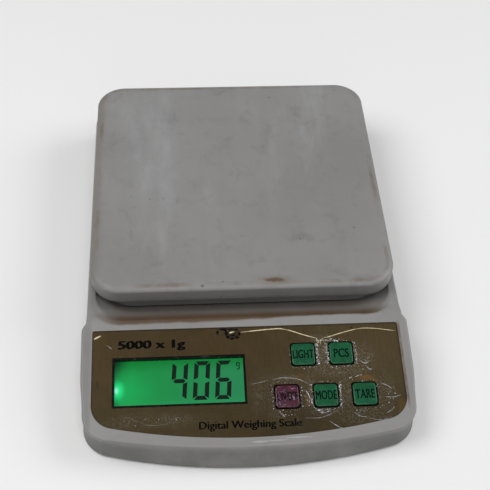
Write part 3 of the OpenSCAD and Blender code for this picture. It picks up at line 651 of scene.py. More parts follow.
def overlay_material():
    """Olive-gold printed panel: fine brushed lines, clouded tone, painted sheen towards the right, brown
    stains and a clear coat.
    """
    n = Nodes("panel_brass_brushed")
    # Lighter towards the right: painted sheen.
    base = n.mix(n.span(n.x, -0.03, 0.085), linear(66, 51, 22), linear(78, 66, 40))
    front = n.span(n.y, -0.080, -0.112)
    base = n.over(base, linear(53, 43, 18), front, 0.85)
    cloud = n.span(n.noise(22, 5, 0.6, seed=2), 0.3, 0.72)
    base = n.over(base, linear(88, 70, 32), cloud, 0.26)
    brush = n.noise(900, 3, 0.65, (1, 0.06, 1), 4)
    base = n.over(base, linear(40, 30, 12), n.span(brush, 0.35, 0.65), 0.22)
    fleck = n.span(n.cells(1500, 3), 0.24, 0.08)
    base = n.over(base, linear(122, 104, 62), fleck, 0.2)
    rust, dark = linear(126, 90, 36), linear(28, 22, 14)
    stains = [
        (rust, (63.0, -31.6, 3.6, 1.4), 0.5),
        (rust, (67.2, -33.8, 1.4, 1.4), 0.3),
        (rust, (33.2, -37.0, 1.0, 1.9), 0.5),
        (rust, (30.6, -43.6, 1.6, 3.4), 0.3),
        (rust, (27.0, -30.2, 5.5, 1.6), 0.16),
        (rust, (80.2, -49.0, 2.0, 4.6), 0.2),
        (dark, (-80.0, -31.0, 0.6, 2.4), 0.6),
        (dark, (-7.6, -3.6, 4.2, 3.2), 0.75),
        (dark, (-12.4, -0.9, 2.4, 1.1), 0.8),
        (dark, (-15.6, -2.7, 0.9, 1.2), 0.8),
        (dark, (57.8, -2.4, 0.8, 1.0), 0.7),
    ]
    for i, (colour, (u, v, wide, high), strength) in enumerate(stains):
        mask = n.spot(panel_pt(u, v), (wide, high, 8), 0.4, 1.2, 520, i * 2.3)
        base = n.over(base, colour, mask, strength)
    skin = n.bump(brush, 0.000012)
    waves = n.bump(n.noise(55, 3, 0.5, seed=7), 0.00007)
    rub = n.span(n.noise(90, 4, 0.6, seed=5), 0.3, 0.7, 0.28, 0.38)
    coat = {"Coat Weight": 0.35, "Coat Roughness": 0.1, "Coat Normal": waves}
    return n.shader(base, rub, skin, {"Metallic": 0.3, "Specular IOR Level": 0.25, **coat})


def film_material():
    """Clear film, hazy where it has lifted round the keys, with fine rubbed scratches."""
    n = Nodes("clear_film_worn")
    haze = n.span(n.noise(210, 6, 0.75, seed=1, warp=1.2), 0.56, 0.78)
    zones = [
        (40.4, -17.2, 6.5, 11, 1.0),
        (61.5, -21.0, 6, 8, 0.7),
        (50.0, -28.0, 12, 3.2, 0.6),
        (33, -39, 4, 11, 0.6),
        (51, -40, 4, 11, 0.55),
        (13, -41, 4, 11, 0.5),
        (18, -31.5, 13, 3, 0.45),
        (42, -50, 11, 2.6, 0.5),
        (72, -42, 5, 13, 0.4),
        (60, -54, 14, 4, 0.4),
        (-50, -52, 22, 3.6, 0.4),
        (6, -38, 5, 10, 0.35),
    ]
    total = 0.0
    for i, (u, v, wide, high, strength) in enumerate(zones):
        mask = n.spot(panel_pt(u, v), (wide, high, 8), 0.7, 0.9, 220, i * 1.9)
        total = n.most(n.times(mask, strength), total)
    crackle = n.span(n.cells(620, 2, "DISTANCE_TO_EDGE"), 0.075, 0.01)
    torn = n.times(n.most(haze, n.times(crackle, 0.55)), total)
    rubbed = n.span(n.noise(420, 3, 0.7, (1, 0.03, 1), 9), 0.66, 0.76)
    alpha = n.math("MULTIPLY_ADD", torn, 0.6, 0.004)
    alpha = n.math("ADD", alpha, n.times(rubbed, 0.07), clamp=True)
    tone = n.mix(haze, linear(150, 146, 132), linear(196, 200, 206))
    skin = n.bump(n.noise(300, 5, 0.7, seed=4), 0.00006)
    return n.shader(tone, 0.2, skin, {"Alpha": alpha})


def wrinkle_material(name, colour, rough=0.3, faint=0.5):
    """Raised folds and torn slivers of the film, fading to faint where they lie flat."""
    n = Nodes(name)
    tone = n.mix(n.noise(700, 4, 0.7), scaled(colour, 0.7), colour)
    fade = n.span(n.noise(500, 4, 0.7, seed=3), 0.36, 0.6, faint, 1.0)
    skin = n.bump(n.noise(1400, 3, 0.6, seed=2), 0.00003)
    return n.shader(tone, rough, skin, {"Alpha": fade})


def lamp_spot(n, u, v, wide, high, edge):
    """A soft blot of light or shade on the display glass."""
    return n.spot(panel_pt(u, v, GLASS_N), (wide, high, 9), edge, 0.1, 40)


def display_material():
    """Backlit liquid crystal: green that is darkest at the top left, with the lamp's hot spot."""
    n = Nodes("display_backlit_green")
    up = n.math("DIVIDE", n.minus(n.y, PANEL_Y * MM), COS)
    across = n.span(n.x, -0.071, -0.003, soft=False)
    height = n.span(up, -0.0445, -0.0165, soft=False)
    glow = n.mix(n.span(across, 0.0, 1.0), linear(22, 146, 68), linear(42, 136, 84))
    glow = n.mix(n.span(height, 0.72, 1.0, 0.0, 0.75), glow, linear(10, 122, 44))
    glow = n.mix(n.span(height, 0.30, 0.0, 0.0, 0.6), glow, linear(46, 158, 94))
    glow = n.over(glow, linear(6, 52, 26), lamp_spot(n, -71.5, -17.0, 5.5, 9.0, 0.8), 0.75)
    glow = n.over(glow, linear(10, 60, 40), lamp_spot(n, -72.5, -44.5, 3.0, 6.5, 0.8), 0.6)
    glow = n.mix(n.span(across, 0.055, 0.0, 0.0, 0.72), glow, linear(8, 46, 30))
    glow = n.over(glow, linear(30, 178, 92), lamp_spot(n, -68.0, -34.0, 12.0, 8.5, 1.0), 0.8)
    glow = n.over(glow, linear(44, 250, 150), lamp_spot(n, -69.6, -33.4, 2.4, 3.6, 1.0), 0.95)
    glow = n.over(glow, linear(150, 255, 222), lamp_spot(n, -70.3, -33.4, 0.9, 1.5, 0.8), 1.0)
    glow = n.mix(1.0, glow, n.span(n.noise(1600, 2, 0.5), 0.3, 0.7, 0.92, 1.0), "MULTIPLY")
    dark = n.mix(1.0, glow, (0.06, 0.06, 0.06, 1), "MULTIPLY")
    lit = {"Emission Color": glow, "Emission Strength": 1.0}
    return n.shader(dark, 0.25, None, {"Specular IOR Level": 0.15, **lit})


def digit_material():
    n = Nodes("display_segments")
    tone = n.mix(n.noise(500, 3), linear(6, 16, 12), linear(14, 32, 24))
    return n.shader(tone, 0.6, None, {"Specular IOR Level": 0.1})


def key_gap_shade(n):
    """Painted shade on a key's sides in the gap round it, up to where its shoulder starts."""
    return n.span(above_panel(n), 0.00038, 0.00008, 0.0, 0.92)


def key_material(name, colour, seed):
    """Translucent-looking coloured key: mottled tone, worn gloss and a paler rubbed top."""
    n = Nodes(name)
    cloud = n.span(n.noise(160, 4, 0.6, seed=seed), 0.3, 0.7)
    tone = n.mix(cloud, scaled(colour, 0.78), scaled(colour, 1.16))
    worn = n.span(n.noise(420, 6, 0.75, seed=seed + 3), 0.5, 0.72)
    tone = n.over(tone, linear(96, 132, 108), worn, 0.18)
    # Near black down the key's sides: painted shade in the gap.
    tone = n.mix(key_gap_shade(n), tone, linear(5, 12, 9))
    rub = n.span(n.noise(300, 4, 0.6, seed=seed + 6), 0.3, 0.7, 0.2, 0.32)
    skin = n.bump(n.noise(900, 4, 0.6, seed=seed), 0.00003)
    return n.shader(tone, rub, skin, {"Specular IOR Level": 0.35})


def red_key_material():
    """The power key: dark wine red, scuffed all over by the torn film on it."""
    n = Nodes("key_red_scuffed")
    cloud = n.span(n.noise(240, 5, 0.7, seed=3, warp=0.8), 0.3, 0.7)
    tone = n.mix(cloud, linear(34, 10, 22), linear(84, 18, 46))
    scuff = n.span(n.noise(700, 6, 0.8, (1, 0.5, 1), 5, 1.5), 0.52, 0.66)
    tone = n.over(tone, linear(128, 96, 112), scuff, 0.26)
    # Near black down the key's sides: painted shade in the gap.
    tone = n.mix(key_gap_shade(n), tone, linear(10, 8, 9))
    skin = n.bump(n.noise(900, 5, 0.75, seed=8), 0.00008)
    return n.shader(tone, 0.3, skin)


def ink_material(name="printed_ink", colour=None):
    n = Nodes(name)
    colour = colour or linear(5, 5, 4)
    tone = n.mix(n.noise(900, 4, 0.7), scaled(colour, 0.7), scaled(colour, 1.5))
    rub = n.span(n.noise(300, 3), 0.3, 0.7, 0.35, 0.6)
    return n.shader(tone, rub, None, {"Specular IOR Level": 0.03})


def board_material():
    """Green solder resist with copper tracks showing through it."""
    n = Nodes("circuit_board_green")
    lanes = n.math("FRACT", n.times(n.x, 420.0))
    track = n.span(n.size(n.minus(lanes, 0.5)), 0.2, 0.16)
    broken = n.span(n.noise(110, 2, 0.5), 0.46, 0.52)
    tone = n.mix(n.noise(60, 3), linear(16, 72, 40), linear(24, 92, 50))
    tone = n.over(tone, linear(60, 130, 60), n.times(track, broken), 0.5)
    skin = n.bump(track, 0.00003)
    return n.shader(tone, 0.3, skin)


def floor_material():
    n = Nodes("studio_floor")
    tone = n.mix(n.noise(3, 2), (0.86, 0.86, 0.86, 1), (0.88, 0.88, 0.88, 1))
    return n.shader(tone, 0.9)


# ---------------------------------------------------------------- housing


def bezel_plane(y):
    """Height of the tilted bezel's plane."""
    return PANEL_Z + BEZEL_N / COS + (y - PANEL_Y) * TAN


def top_z(y):
    """Height of the housing's top: the tilted bezel, easing down to the rim behind the head."""
    share = smooth((y - HEAD_REAR_Y) / (STEP_REAR_Y - HEAD_REAR_Y))
    return bezel_plane(np.minimum(y, STEP_REAR_Y)) * (1 - share) + RIM_Z * share


def ceiling_z(y):
    """Height of the top skin's underside."""
    under = PANEL_Z + SKIN_N / COS + (y - PANEL_Y) * TAN
    start, end = SKIN_STEP
    edge = PANEL_Z + SKIN_N / COS + (start - PANEL_Y) * TAN
    slope = edge + (CEILING_Z - edge) * np.clip((y - start) / (end - start), 0, 1)
    return np.where(np.asarray(y) < start, under, slope)


def at_height(loop, z):
    """A plan loop lifted to z, one height or one for each point."""
    return np.column_stack([loop, np.broadcast_to(z, len(loop))])


def on_top(loop):
    """A plan loop laid on the housing's top."""
    return at_height(loop, top_z(loop[:, 1]))


def wall_rings():
    """The outside wall's rings from its foot up to the crease, the corner above them, and the foot."""
    foot = shell_outline((88.6, 90, 17, 310, -127.9), (89, 128, 20))
    waist = shell_outline((88, 89.4, 16, 350, -125.6), (88.4, 127.4, 19.8))
    top = shell_outline((87.9, 89.2, 15, 410, -124.9), (86.95, 125.95, 18.9))
    crease = top_z(top[:, 1]) - CREASE
    levels = [(np.full(len(top), EDGE_Z), foot), (np.full(len(top), WAIST_Z), waist), (crease, top)]

    def at(z):
        """The wall at height z, on the parabola through the three outlines."""
        xy = np.zeros_like(top)
        for level, outline in levels:
            share = np.ones(len(top))
            for other, _ in levels:
                if other is not level:
                    share *= (z - other) / (level - other)
            xy += share[:, None] * outline
        return at_height(xy, z)

    rings = [at(EDGE_Z + (crease - EDGE_Z) * t) for t in np.linspace(0.045, 1, 9)]
    return rings, at(crease + CREASE), foot


def dish_outline(half_w, y0, y1, front_r, rear_r):
    """A rounded rectangle whose front and rear corners differ."""
    front = rounded_box(half_w, y0, y1, front_r, 24, 14)
    rear = rounded_box(half_w, y0, y1, rear_r, 24, 14)
    return np.where(front[:, 1:] < (y0 + y1) / 2, front, rear)


def pocket_rings():
    """The dish behind the head, from its rounded rim down its slope to its floor."""
    high, low = dish_outline(*DISH_HIGH), dish_outline(*DISH_LOW)

    def wall(z):
        return low + (high - low) * np.reshape((z - DISH_LOW_Z) / (DISH_HIGH_Z - DISH_LOW_Z), (-1, 1))

    z = np.full(len(high), 28.0)
    for _ in range(8):
        edge = wall(z)
        z = top_z(edge[:, 1])
    rim, foot = at_height(edge, z), at_height(wall(FLOOR_Z), FLOOR_Z)
    down = foot - rim
    down /= np.linalg.norm(down, axis=1)[:, None]
    inner = at_height(offset(plan(foot), -2.4), FLOOR_Z)
    rings = fillet(on_top(offset(edge, 1.0)), rim, rim + down, 6)
    return rings + fillet(foot - down * 2.6, foot, inner, 6)


def hole_loop(u, v, w, h, r, corner=6):
    """A hole's outline in the panel's frame."""
    loop = rounded_box(w / 2, -h / 2, h / 2, r, corner, 2)
    return loop + np.array([u, v])


def panel_ring(loop, n):
    """A loop of the panel's frame as points at level n."""
    return np.array([panel_pt(u, v, n) for u, v in loop])


def plan(ring):
    """A ring seen from above."""
    return np.asarray(ring)[:, :2]


def panel_openings():
    """The display and key holes as loops in the panel's frame."""
    holes = [hole_loop(LCD_U, LCD_V, LCD_W + 0.4, LCD_H + 0.4, 0.3, 3)]
    return holes + [hole_loop(u, v, KEY_HOLE, KEY_HOLE, 2.0) for u, v, _ in KEYS.values()]


def add_walls(s):
    """The outside walls and the rounded crease above them. Gives back their foot and the top's edge."""
    walls, corner, foot = wall_rings()
    edge = fillet(at_height(offset(foot, -0.5), EDGE_Z), at_height(foot, EDGE_Z), walls[0], 3)
    inner = on_top(offset(plan(corner), -CREASE))
    border = on_top(offset(plan(corner), -CREASE - 0.35))
    s.loft([*edge, *walls[1:], *fillet(walls[-1], corner, inner, 8)[1:], border])
    return edge[0], border


def add_recess(s, holes):
    """The overlay's recess with its rounded lip, its floor, and the holes through it."""
    flat = overlay_outline(0)
    loop = np.column_stack([flat[:, 0], (flat[:, 1] - PANEL_Y) / COS])
    wide = panel_ring(offset(loop, 0.5), BEZEL_N)
    lip = fillet(wide, panel_ring(loop, BEZEL_N), panel_ring(loop, 0.4), 4)
    guard = panel_ring(offset(loop, 0.75), BEZEL_N)
    s.loft([guard, *lip, panel_ring(loop, RECESS_N)])
    s.fill(loop, holes, lambda u, v: panel_pt(u, v, RECESS_N))
    for hole in holes:
        s.loft([panel_ring(hole, RECESS_N), panel_ring(hole, SKIN_N)])
    return guard


def add_dish(s, slot_loop):
    """The dish for the platform, with the load cell's slot in its floor."""
    dish = pocket_rings()
    ring = on_top(offset(plan(dish[0]), 0.3))
    s.loft([ring, *dish])
    s.fill(plan(dish[-1]), [slot_loop], lambda x, y: (x, y, FLOOR_Z))
    s.loft([at_height(slot_loop, FLOOR_Z), at_height(slot_loop, CEILING_Z)])
    return ring


def add_inside(s, edge, openings):
    """The plain skin inside the walls and under the top."""
    low = shell_outline((86.2, 87.6, 14.6, 307.6, -125.6), (86.6, 125.6, 17.6))
    top = shell_outline((85.5, 86.6, 12.6, 407, -122.2), (85.4, 124.4, 17))
    s.loft(
        [edge, at_height(offset(low, 0.3), EDGE_Z), at_height(low, EDGE_Z + 0.3),
         at_height(top, ceiling_z(top[:, 1]))]
    )
    step = [(x, y) for y in SKIN_STEP for x in np.linspace(-80, 80, 21)]
    s.fill(top, openings, lambda x, y: (x, y, float(ceiling_z(y))), step)


def housing_shell():
    """The upper shell: walls, bezel, overlay recess and dish outside, and a plain skin inside."""
    s = Shape()
    holes = panel_openings()
    slot_loop = rounded_box(SLOT_HALF_L, -SLOT_HALF_W, SLOT_HALF_W, 1.5, 6, 6) + (1.0, PLATFORM_Y)
    edge, border = add_walls(s)
    guard = add_recess(s, holes)
    ring = add_dish(s, slot_loop)
    # More points on the side rims, where the top eases down
    extra = [(x, y) for y in np.arange(-53, -42.5, 1.0) for x in (-84.6, -83.6, 83.6, 84.6)]
    extra = [p for p in extra if not inside(np.array([p]), offset(plan(ring), 0.4))[0]]
    s.fill(plan(border), [plan(guard), plan(ring)], lambda x, y: (x, y, float(top_z(y))), extra)
    add_inside(s, edge, [*[plan(panel_ring(h, SKIN_N)) for h in holes], slot_loop])
    return s.build("housing_shell", 32)


# ---------------------------------------------------------------- tray, keys and lettering


def tray_ring(inset, z):
    """The tray's outline drawn in by inset, at height z."""
    half = TRAY_W / 2 - inset
    y0 = PLATFORM_Y - TRAY_LEN / 2 + inset
    y1 = PLATFORM_Y + TRAY_LEN / 2 - inset
    return at_height(rounded_box(half, y0, y1, max(TRAY_CORNER_R - inset, 1.5), 28, 10), z)


def tray_shell():
    """The platform's tray: an upright band, a soft shoulder, a flat top and pegs underneath."""
    s = Shape()
    rings = [tray_ring(2.4, 36.0), tray_ring(2.4, 31.2), tray_ring(2.2, TRAY_BOTTOM)]
    rings += [tray_ring(0.5, TRAY_BOTTOM), tray_ring(0.12, 31.15), tray_ring(0, 31.6)]
    rings += [tray_ring(0, z) for z in (33.5, 36, 37.6)]
    for a in np.linspace(0, 90, 17):
        c, q = math.cos(math.radians(a)), math.sin(math.radians(a))
        rings.append(tray_ring(TRAY_ROUND_W * (1 - c), TRAY_TOP - TRAY_ROUND_H * (1 - q)))
    rings += [tray_ring(5.6, TRAY_TOP), tray_ring(8, TRAY_TOP)]
    s.loft([tray_ring(6.4, 38.6), *rings])
    s.cap(rings[-1])
    s.cap(tray_ring(6.4, 38.6))
    for x, y in [(a * PEG_X, PLATFORM_Y + b * PEG_Y) for a in (-1, 1) for b in (-1, 1)]:
        peg = [(x, y, 38.7), (x, y, PEG_TIP + 0.6), (x, y, PEG_TIP)]
        s.tube(peg, [PEG_R, PEG_R, PEG_R - 0.5], 24)
    return s.build("tray_shell", 40)


DOME, KEY_SHOULDER, DOME_R = 0.28, 0.52, 8.6
FLANGE, FLANGE_LOW, FLANGE_HIGH = 7.6, -3.8, -2.9


def cap_ring(u, v, half, r, n, lift=0.0):
    """A rounded square round a key's axis, raised in its middle by lift."""
    loop = rounded_box(half, -half, half, r, 8, 4)
    rise = lift * (1 - np.clip(np.linalg.norm(loop, axis=1) / DOME_R, 0, 1) ** 2)
    return np.array([panel_pt(u + a, v + b, n + c) for (a, b), c in zip(loop, rise)])


def dome(a, b):
    """How far a key's top stands above the overlay, a and b from the key's middle."""
    return KEY_SHOULDER + DOME * (1 - min(math.hypot(a, b) / DOME_R, 1) ** 2)


def key_top(a, b):
    """Just under a key's top, for what is printed or stuck on it."""
    return dome(a, b) - 0.01


def keycap(name, u, v):
    """A key: flange under the panel, square body, rounded shoulder and slightly domed top."""
    s = Shape()
    half = KEY_CAP / 2
    rings = [cap_ring(u, v, 1.9, 1.2, FLANGE_LOW), cap_ring(u, v, FLANGE - 0.1, 1.6, FLANGE_LOW)]
    rings += [cap_ring(u, v, FLANGE, 1.6, n) for n in (FLANGE_LOW + 0.1, FLANGE_HIGH - 0.1)]
    rings += [cap_ring(u, v, FLANGE - 0.1, 1.6, FLANGE_HIGH), cap_ring(u, v, half, 1.8, FLANGE_HIGH)]
    rings += [cap_ring(u, v, half, 1.8, n) for n in (-1.2, -0.2)]
    for a in np.linspace(0, 90, 8):
        c, q = math.cos(math.radians(a)), math.sin(math.radians(a))
        inset = 0.7 * (1 - c)
        rings.append(cap_ring(u, v, half - inset, 1.8 - inset * 0.5, KEY_SHOULDER - 0.6 * (1 - q), DOME))
    for inset in (1.1, 2.2, 3.6, 5.0, 6.1):
        rings.append(cap_ring(u, v, half - inset, max(1.6 - inset * 0.28, 0.1), KEY_SHOULDER, DOME))
    s.solid(rings)
    stem = [panel_pt(u, v, n) for n in (FLANGE_LOW + 0.1, -5.3, -5.4)]
    s.tube(stem, [1.6, 1.6, 1.4], 20)
    return s.build(name, 50)


def flat_letters(words, extrude):
    """The words as a mesh of unit-size letters, lying in XY."""
    curve = bpy.data.curves.new("letters", "FONT")
    curve.body = words
    curve.align_x, curve.align_y = "CENTER", "CENTER"
    curve.extrude = extrude
    curve.resolution_u = 3
    holder = bpy.data.objects.new("letters", curve)
    bpy.context.scene.collection.objects.link(holder)
    bpy.context.view_layer.update()
    ready = holder.evaluated_get(bpy.context.evaluated_depsgraph_get())
    mesh = bpy.data.meshes.new_from_object(ready)
    bpy.data.objects.remove(holder)
    bpy.data.curves.remove(curve)
    return mesh


def lettering(name, words, u, v, width, height, bold, level=lambda a, b: 0.0, thick=0.024):
    """Words printed on the panel, made bold by copies side by side, most so in their uprights.
    level(a, b) gives n at an offset from the words' middle."""
    letters = flat_letters(words, 0.5)
    co = np.array([p.co for p in letters.vertices])
    low, high = co.min(0), co.max(0)
    size = high - low
    co = (co - (low + high) / 2) / size
    s = Shape()
    for step in (-1, 0, 1):
        first = len(s.points)
        for x, y, z in co:
            a, b = x * width + step * bold, y * height + step * bold * 0.3
            n = level(a, b) + (z + 0.5) * (thick + 0.004 * step)
            s.points.append(panel_pt(u + a, v + b, n))
        s.faces += [tuple(first + i for i in f.vertices) for f in letters.polygons]
    bpy.data.meshes.remove(letters)
    return s.build(name, 20, 0.0001)


def prism(s, outline, low, high):
    """A flat plate on the panel: an outline of (u, v), between two n levels."""
    s.solid([panel_ring(outline, low), panel_ring(outline, high)])


SEGMENTS = {"0": "abcdef", "4": "bcfg", "6": "acdefg", "g": "abcdfg"}


def segment_bars(w, h, t):
    """The seven bars of a digit w wide and h high, with strokes t thick and cut-back ends."""
    g, x, y = t * 0.14, w / 2, h / 2
    cut = t * 0.5

    def level(yc, lean):
        up = [(-x + g + cut * 0.3, yc + lean), (x - g - cut * 0.3, yc + lean)]
        down = [(x - g - t * 0.85, yc + lean - math.copysign(t, lean))]
        down += [(-x + g + t * 0.85, yc + lean - math.copysign(t, lean))]
        return up + down

    def middle():
        e = x - g - t * 0.25
        return [(-e, 0), (-e + cut, cut), (e - cut, cut), (e, 0), (e - cut, -cut), (-e + cut, -cut)]

    def upright(side, y0, y1):
        xs, xi = side * x, side * (x - t)
        sign = math.copysign(1, y1 - y0)
        outer_end, inner_end = y1 - sign * (g + cut * 0.4), y1 - sign * (g + t * 0.9)
        near, wedge = y0 + sign * (g + cut * 0.3), y0 + sign * (g + cut * 1.1)
        return [(xs, near), (xs, outer_end), (xi, inner_end), (xi, wedge)]

    return {
        "a": level(0, y),
        "d": level(0, -y),
        "g": middle(),
        "b": upright(1, 0, y),
        "c": upright(1, 0, -y),
        "f": upright(-1, 0, y),
        "e": upright(-1, 0, -y),
    }


def display_digits():
    """The reading: slanted seven-segment digits and a small unit mark."""
    s = Shape()
    low, high = GLASS_N + 0.03, GLASS_N + 0.09
    for digit, u in DIGITS:
        for bar, outline in segment_bars(DIGIT_W, DIGIT_H, DIGIT_STROKE).items():
            if bar in SEGMENTS[digit]:
                prism(s, [(u + a + b * DIGIT_SLANT, DIGIT_V + b) for a, b in outline], low, high)
    for bar, outline in segment_bars(2.1, 4.2, 0.55).items():
        if bar in SEGMENTS["g"]:
            prism(s, [(-5.35 + a + b * 0.06, -21.4 + b) for a, b in outline], low, high)
    return s.build("display_reading", 60)


# ---------------------------------------------------------------- film folds and small parts


def curve_through(points, steps=8):
    """A smooth path through (u, v) points."""
    pts = [np.array(p, float) for p in points]
    pts = [2 * pts[0] - pts[1], *pts, 2 * pts[-1] - pts[-2]]
    made = []
    for a, b, c, d in zip(pts, pts[1:], pts[2:], pts[3:]):
        for t in np.linspace(0, 1, steps, endpoint=False):
            made.append(
                0.5 * (2 * b + (c - a) * t + (2 * a - 5 * b + 4 * c - d) * t**2
                + (3 * b - a - 3 * c + d) * t**3)
            )
    return [*made, pts[-2]]


def ridge(s, path, width, height, base=0.12, taper=0.25):
    """A raised fold along a path on the panel, thinning out towards both ends."""
    rings = []
    last = len(path) - 1
    for i, p in enumerate(path):
        along = path[min(i + 1, last)] - path[max(i - 1, 0)]
        along = along / (np.linalg.norm(along) + 1e-9)
        side = np.array([-along[1], along[0]])
        ends = min(1.0, i / max(1, last * taper), (last - i) / max(1, last * taper))
        w = width * (0.2 + 0.8 * ends) / 2
        h = height * (0.15 + 0.85 * ends)
        section = [(-1, 0), (-0.7, 0.5), (0, 1), (0.7, 0.5), (1, 0)]
        rings.append([panel_pt(*(p + side * w * a), base + h * b) for a, b in section])
    s.solid(rings)


def film_creases():
    """The long fold along the film's rear edge, and the small one at its left corner; their bright cream
    colour is a painted highlight.
    """
    s = Shape()
    runs = [
        ([(-9.4, -3.3), (-8.0, -2.9), (-6.3, -2.5)], 0.8),
        ([(-3.1, -3.0), (4.9, -2.3), (13.2, -1.7), (18.7, -1.6), (24.1, -2.9)], 0.6),
        ([(22.0, -2.3), (24.1, -2.9), (29.4, -5.0), (34.7, -6.9), (38.0, -7.8)], 0.55),
        ([(42.2, -7.9), (45.7, -7.1), (51.4, -5.4), (58.5, -3.6), (62.0, -3.0)], 0.5),
        ([(60.0, -3.3), (64.1, -2.8), (71.0, -3.2), (77.8, -4.3), (82.1, -4.9)], 0.42),
        ([(-82.4, -4.6), (-80.8, -3.6), (-78.6, -2.5)], 0.9),
        ([(37.6, -7.6), (38.9, -9.4), (38.6, -11.2)], 0.4),
        ([(41.8, -7.9), (40.2, -9.4), (40.0, -11.8)], 0.35),
    ]
    for points, width in runs:
        ridge(s, curve_through(points), width, 0.22)
    return s.build("film_creases", 80)


# Rows of lifted edges: from (u, v) to (u, v), their number, their spread, length and width
TEAR_ROWS = [
    (37.8, -22.8, 37.8, -12.0, 16, 0.4, 1.3, 2.3),
    (43.3, -22.4, 43.3, -12.0, 12, 0.35, 1.1, 2.2),
    (48.3, -46.5, 48.3, -35.5, 9, 0.3, 1.1, 2.2),
    (35.0, -49.3, 38.6, -50.0, 6, 0.3, 1.3, 2.0),
    (58.7, -23.4, 58.7, -16.0, 8, 0.4, 1.1, 1.8),
    (38.0, -23.4, 38.0, -10.6, 34, 0.9, 1.4),
    (22.8, -22.0, 22.8, -12.0, 6, 0.3, 0.7),
    (23.5, -24.8, 37.0, -24.8, 14, 0.5, 0.9),
    (43.2, -23.0, 43.2, -10.8, 34, 0.7, 1.2),
    (58.4, -24.0, 58.4, -10.4, 40, 0.8, 1.4),
    (44.0, -24.9, 58.0, -25.1, 16, 0.6, 1.1),
    (44.0, -9.5, 56.0, -9.6, 12, 0.5, 1.1),
    (12.2, -48.4, 12.2, -34.0, 17, 0.7, 1.2),
    (27.4, -47.6, 27.4, -34.4, 16, 0.7, 1.1),
    (13.0, -33.3, 27.0, -33.2, 9, 0.5, 1.0),
    (13.0, -49.0, 27.0, -48.9, 9, 0.6, 1.0),
    (48.0, -48.2, 48.0, -34.0, 26, 0.5, 1.1),
    (32.9, -47.6, 32.9, -34.8, 18, 0.5, 1.0),
    (34.0, -48.9, 47.0, -48.8, 16, 0.5, 1.1),
    (34.0, -33.2, 47.0, -33.3, 9, 0.4, 0.8),
    (68.6, -47.4, 68.6, -34.4, 8, 0.6, 1.0),
    (53.5, -47.4, 53.5, -34.4, 6, 0.5, 0.9),
    (54.0, -49.1, 70.0, -48.8, 12, 0.7, 1.1),
    (55.0, -33.6, 67.0, -33.2, 8, 0.6, 0.9),
    (60.0, -27.0, 66.0, -18.0, 14, 2.0, 1.3),
    (28.6, -40.0, 32.0, -46.0, 14, 1.4, 1.3),
    (14.0, -51.0, 24.0, -51.5, 8, 1.2, 1.2),
    (72.0, -46.0, 78.0, -38.0, 9, 1.8, 1.3),
    (-68.0, -52.0, -36.0, -52.0, 12, 1.4, 1.2),
]

# Bright slivers: u, v, length, angle and width
SLIVERS = [
    (47.9, -37.2, 1.7, 1.6, 0.5),
    (47.7, -47.4, 1.4, 1.2, 0.6),
    (33.2, -35.4, 1.0, 1.9, 0.4),
    (37.9, -9.6, 1.3, 1.2, 0.5),
    (38.6, -12.6, 1.6, 1.8, 0.45),
    (45.2, -8.8, 1.5, 0.1, 0.5),
]

# Single marks: a path of (u, v) and its width
LONG_MARKS = [
    ([(12.5, -31.2), (18, -30.4), (26, -31.4), (31.5, -34.4)], 0.3),
    ([(70.0, -35.2), (73.0, -36.4), (76.0, -38.6)], 0.36),
    ([(71.5, -43.0), (76.0, -43.4), (80.0, -42.4)], 0.3),
    ([(41.0, -55.5), (45.2, -58.6), (50.4, -61.2)], 0.34),
    ([(28.0, -53.2), (36.0, -53.4), (42.5, -51.4)], 0.26),
    ([(35.5, -48.9), (37.2, -50.8), (39.8, -50.4), (42.0, -49.4)], 0.5),
    ([(14.6, -48.8), (16.2, -50.6), (17.8, -52.4)], 0.5),
    ([(54.0, -50.8), (57.5, -53.4), (62.0, -54.0)], 0.26),
    ([(62.0, -54.6), (68.0, -55.8), (74.0, -54.2)], 0.26),
    ([(71.5, -52.0), (74.4, -50.4), (76.0, -48.6)], 0.32),
    ([(29.6, -37.6), (31.0, -40.2), (31.6, -42.6)], 0.42),
    ([(31.8, -42.0), (32.6, -44.4), (33.0, -46.4)], 0.34),
    ([(-66.5, -50.5), (-64.5, -49.4), (-62.0, -50.2), (-60.0, -52.0)], 0.12),
    ([(-58.0, -53.8), (-50.0, -54.4), (-42.0, -53.6)], 0.12),
    ([(-42.0, -52.4), (-38.0, -50.4), (-36.4, -52.0)], 0.12),
    ([(-75.6, -8.0), (-73.6, -9.8), (-72.4, -10.6)], 0.26),
    ([(0.8, -33.4), (6.0, -32.6), (10.0, -31.6)], 0.22),
    ([(60.0, -21.4), (63.0, -23.6), (65.8, -22.2)], 0.34),
    ([(56.8, -31.2), (59.8, -30.2), (60.6, -30.6)], 0.5),
    ([(53.4, -32.2), (54.6, -31.4), (55.4, -31.8)], 0.4),
    ([(63.6, -25.4), (65.4, -27.2), (66.4, -26.6)], 0.34),
    ([(38.0, -10.0), (42.0, -9.2), (46.4, -10.0)], 0.4),
    ([(47.2, -9.2), (48.6, -9.8), (49.8, -10.0)], 0.9),
]


def sliver(s, rand, start, length, angle, width, height=0.16, wander=0.35):
    """A short fold that wanders as it runs."""
    path = [np.array(start)]
    for _ in range(4):
        angle += rand.uniform(-wander, wander)
        path.append(path[-1] + length / 4 * np.array([math.cos(angle), math.sin(angle)]))
    ridge(s, curve_through(path, 3), width, height)


def glints(s, rand, u0, v0, u1, v1, count, spread, long, wide=1.0):
    """Tiny lifted edges scattered along a line, in every direction."""
    run = np.array([u1 - u0, v1 - v0])
    across = np.array([-run[1], run[0]]) / math.hypot(*run)
    for k in range(count):
        t = (k + rand.random()) / count
        start = (u0, v0) + run * t + across * rand.gauss(0, spread * 0.6)
        length = rand.uniform(0.25, 1.0) ** 1.6 * long
        width = rand.uniform(0.12, 0.34) * wide
        sliver(s, rand, start, length, rand.uniform(0, 2 * math.pi), width)


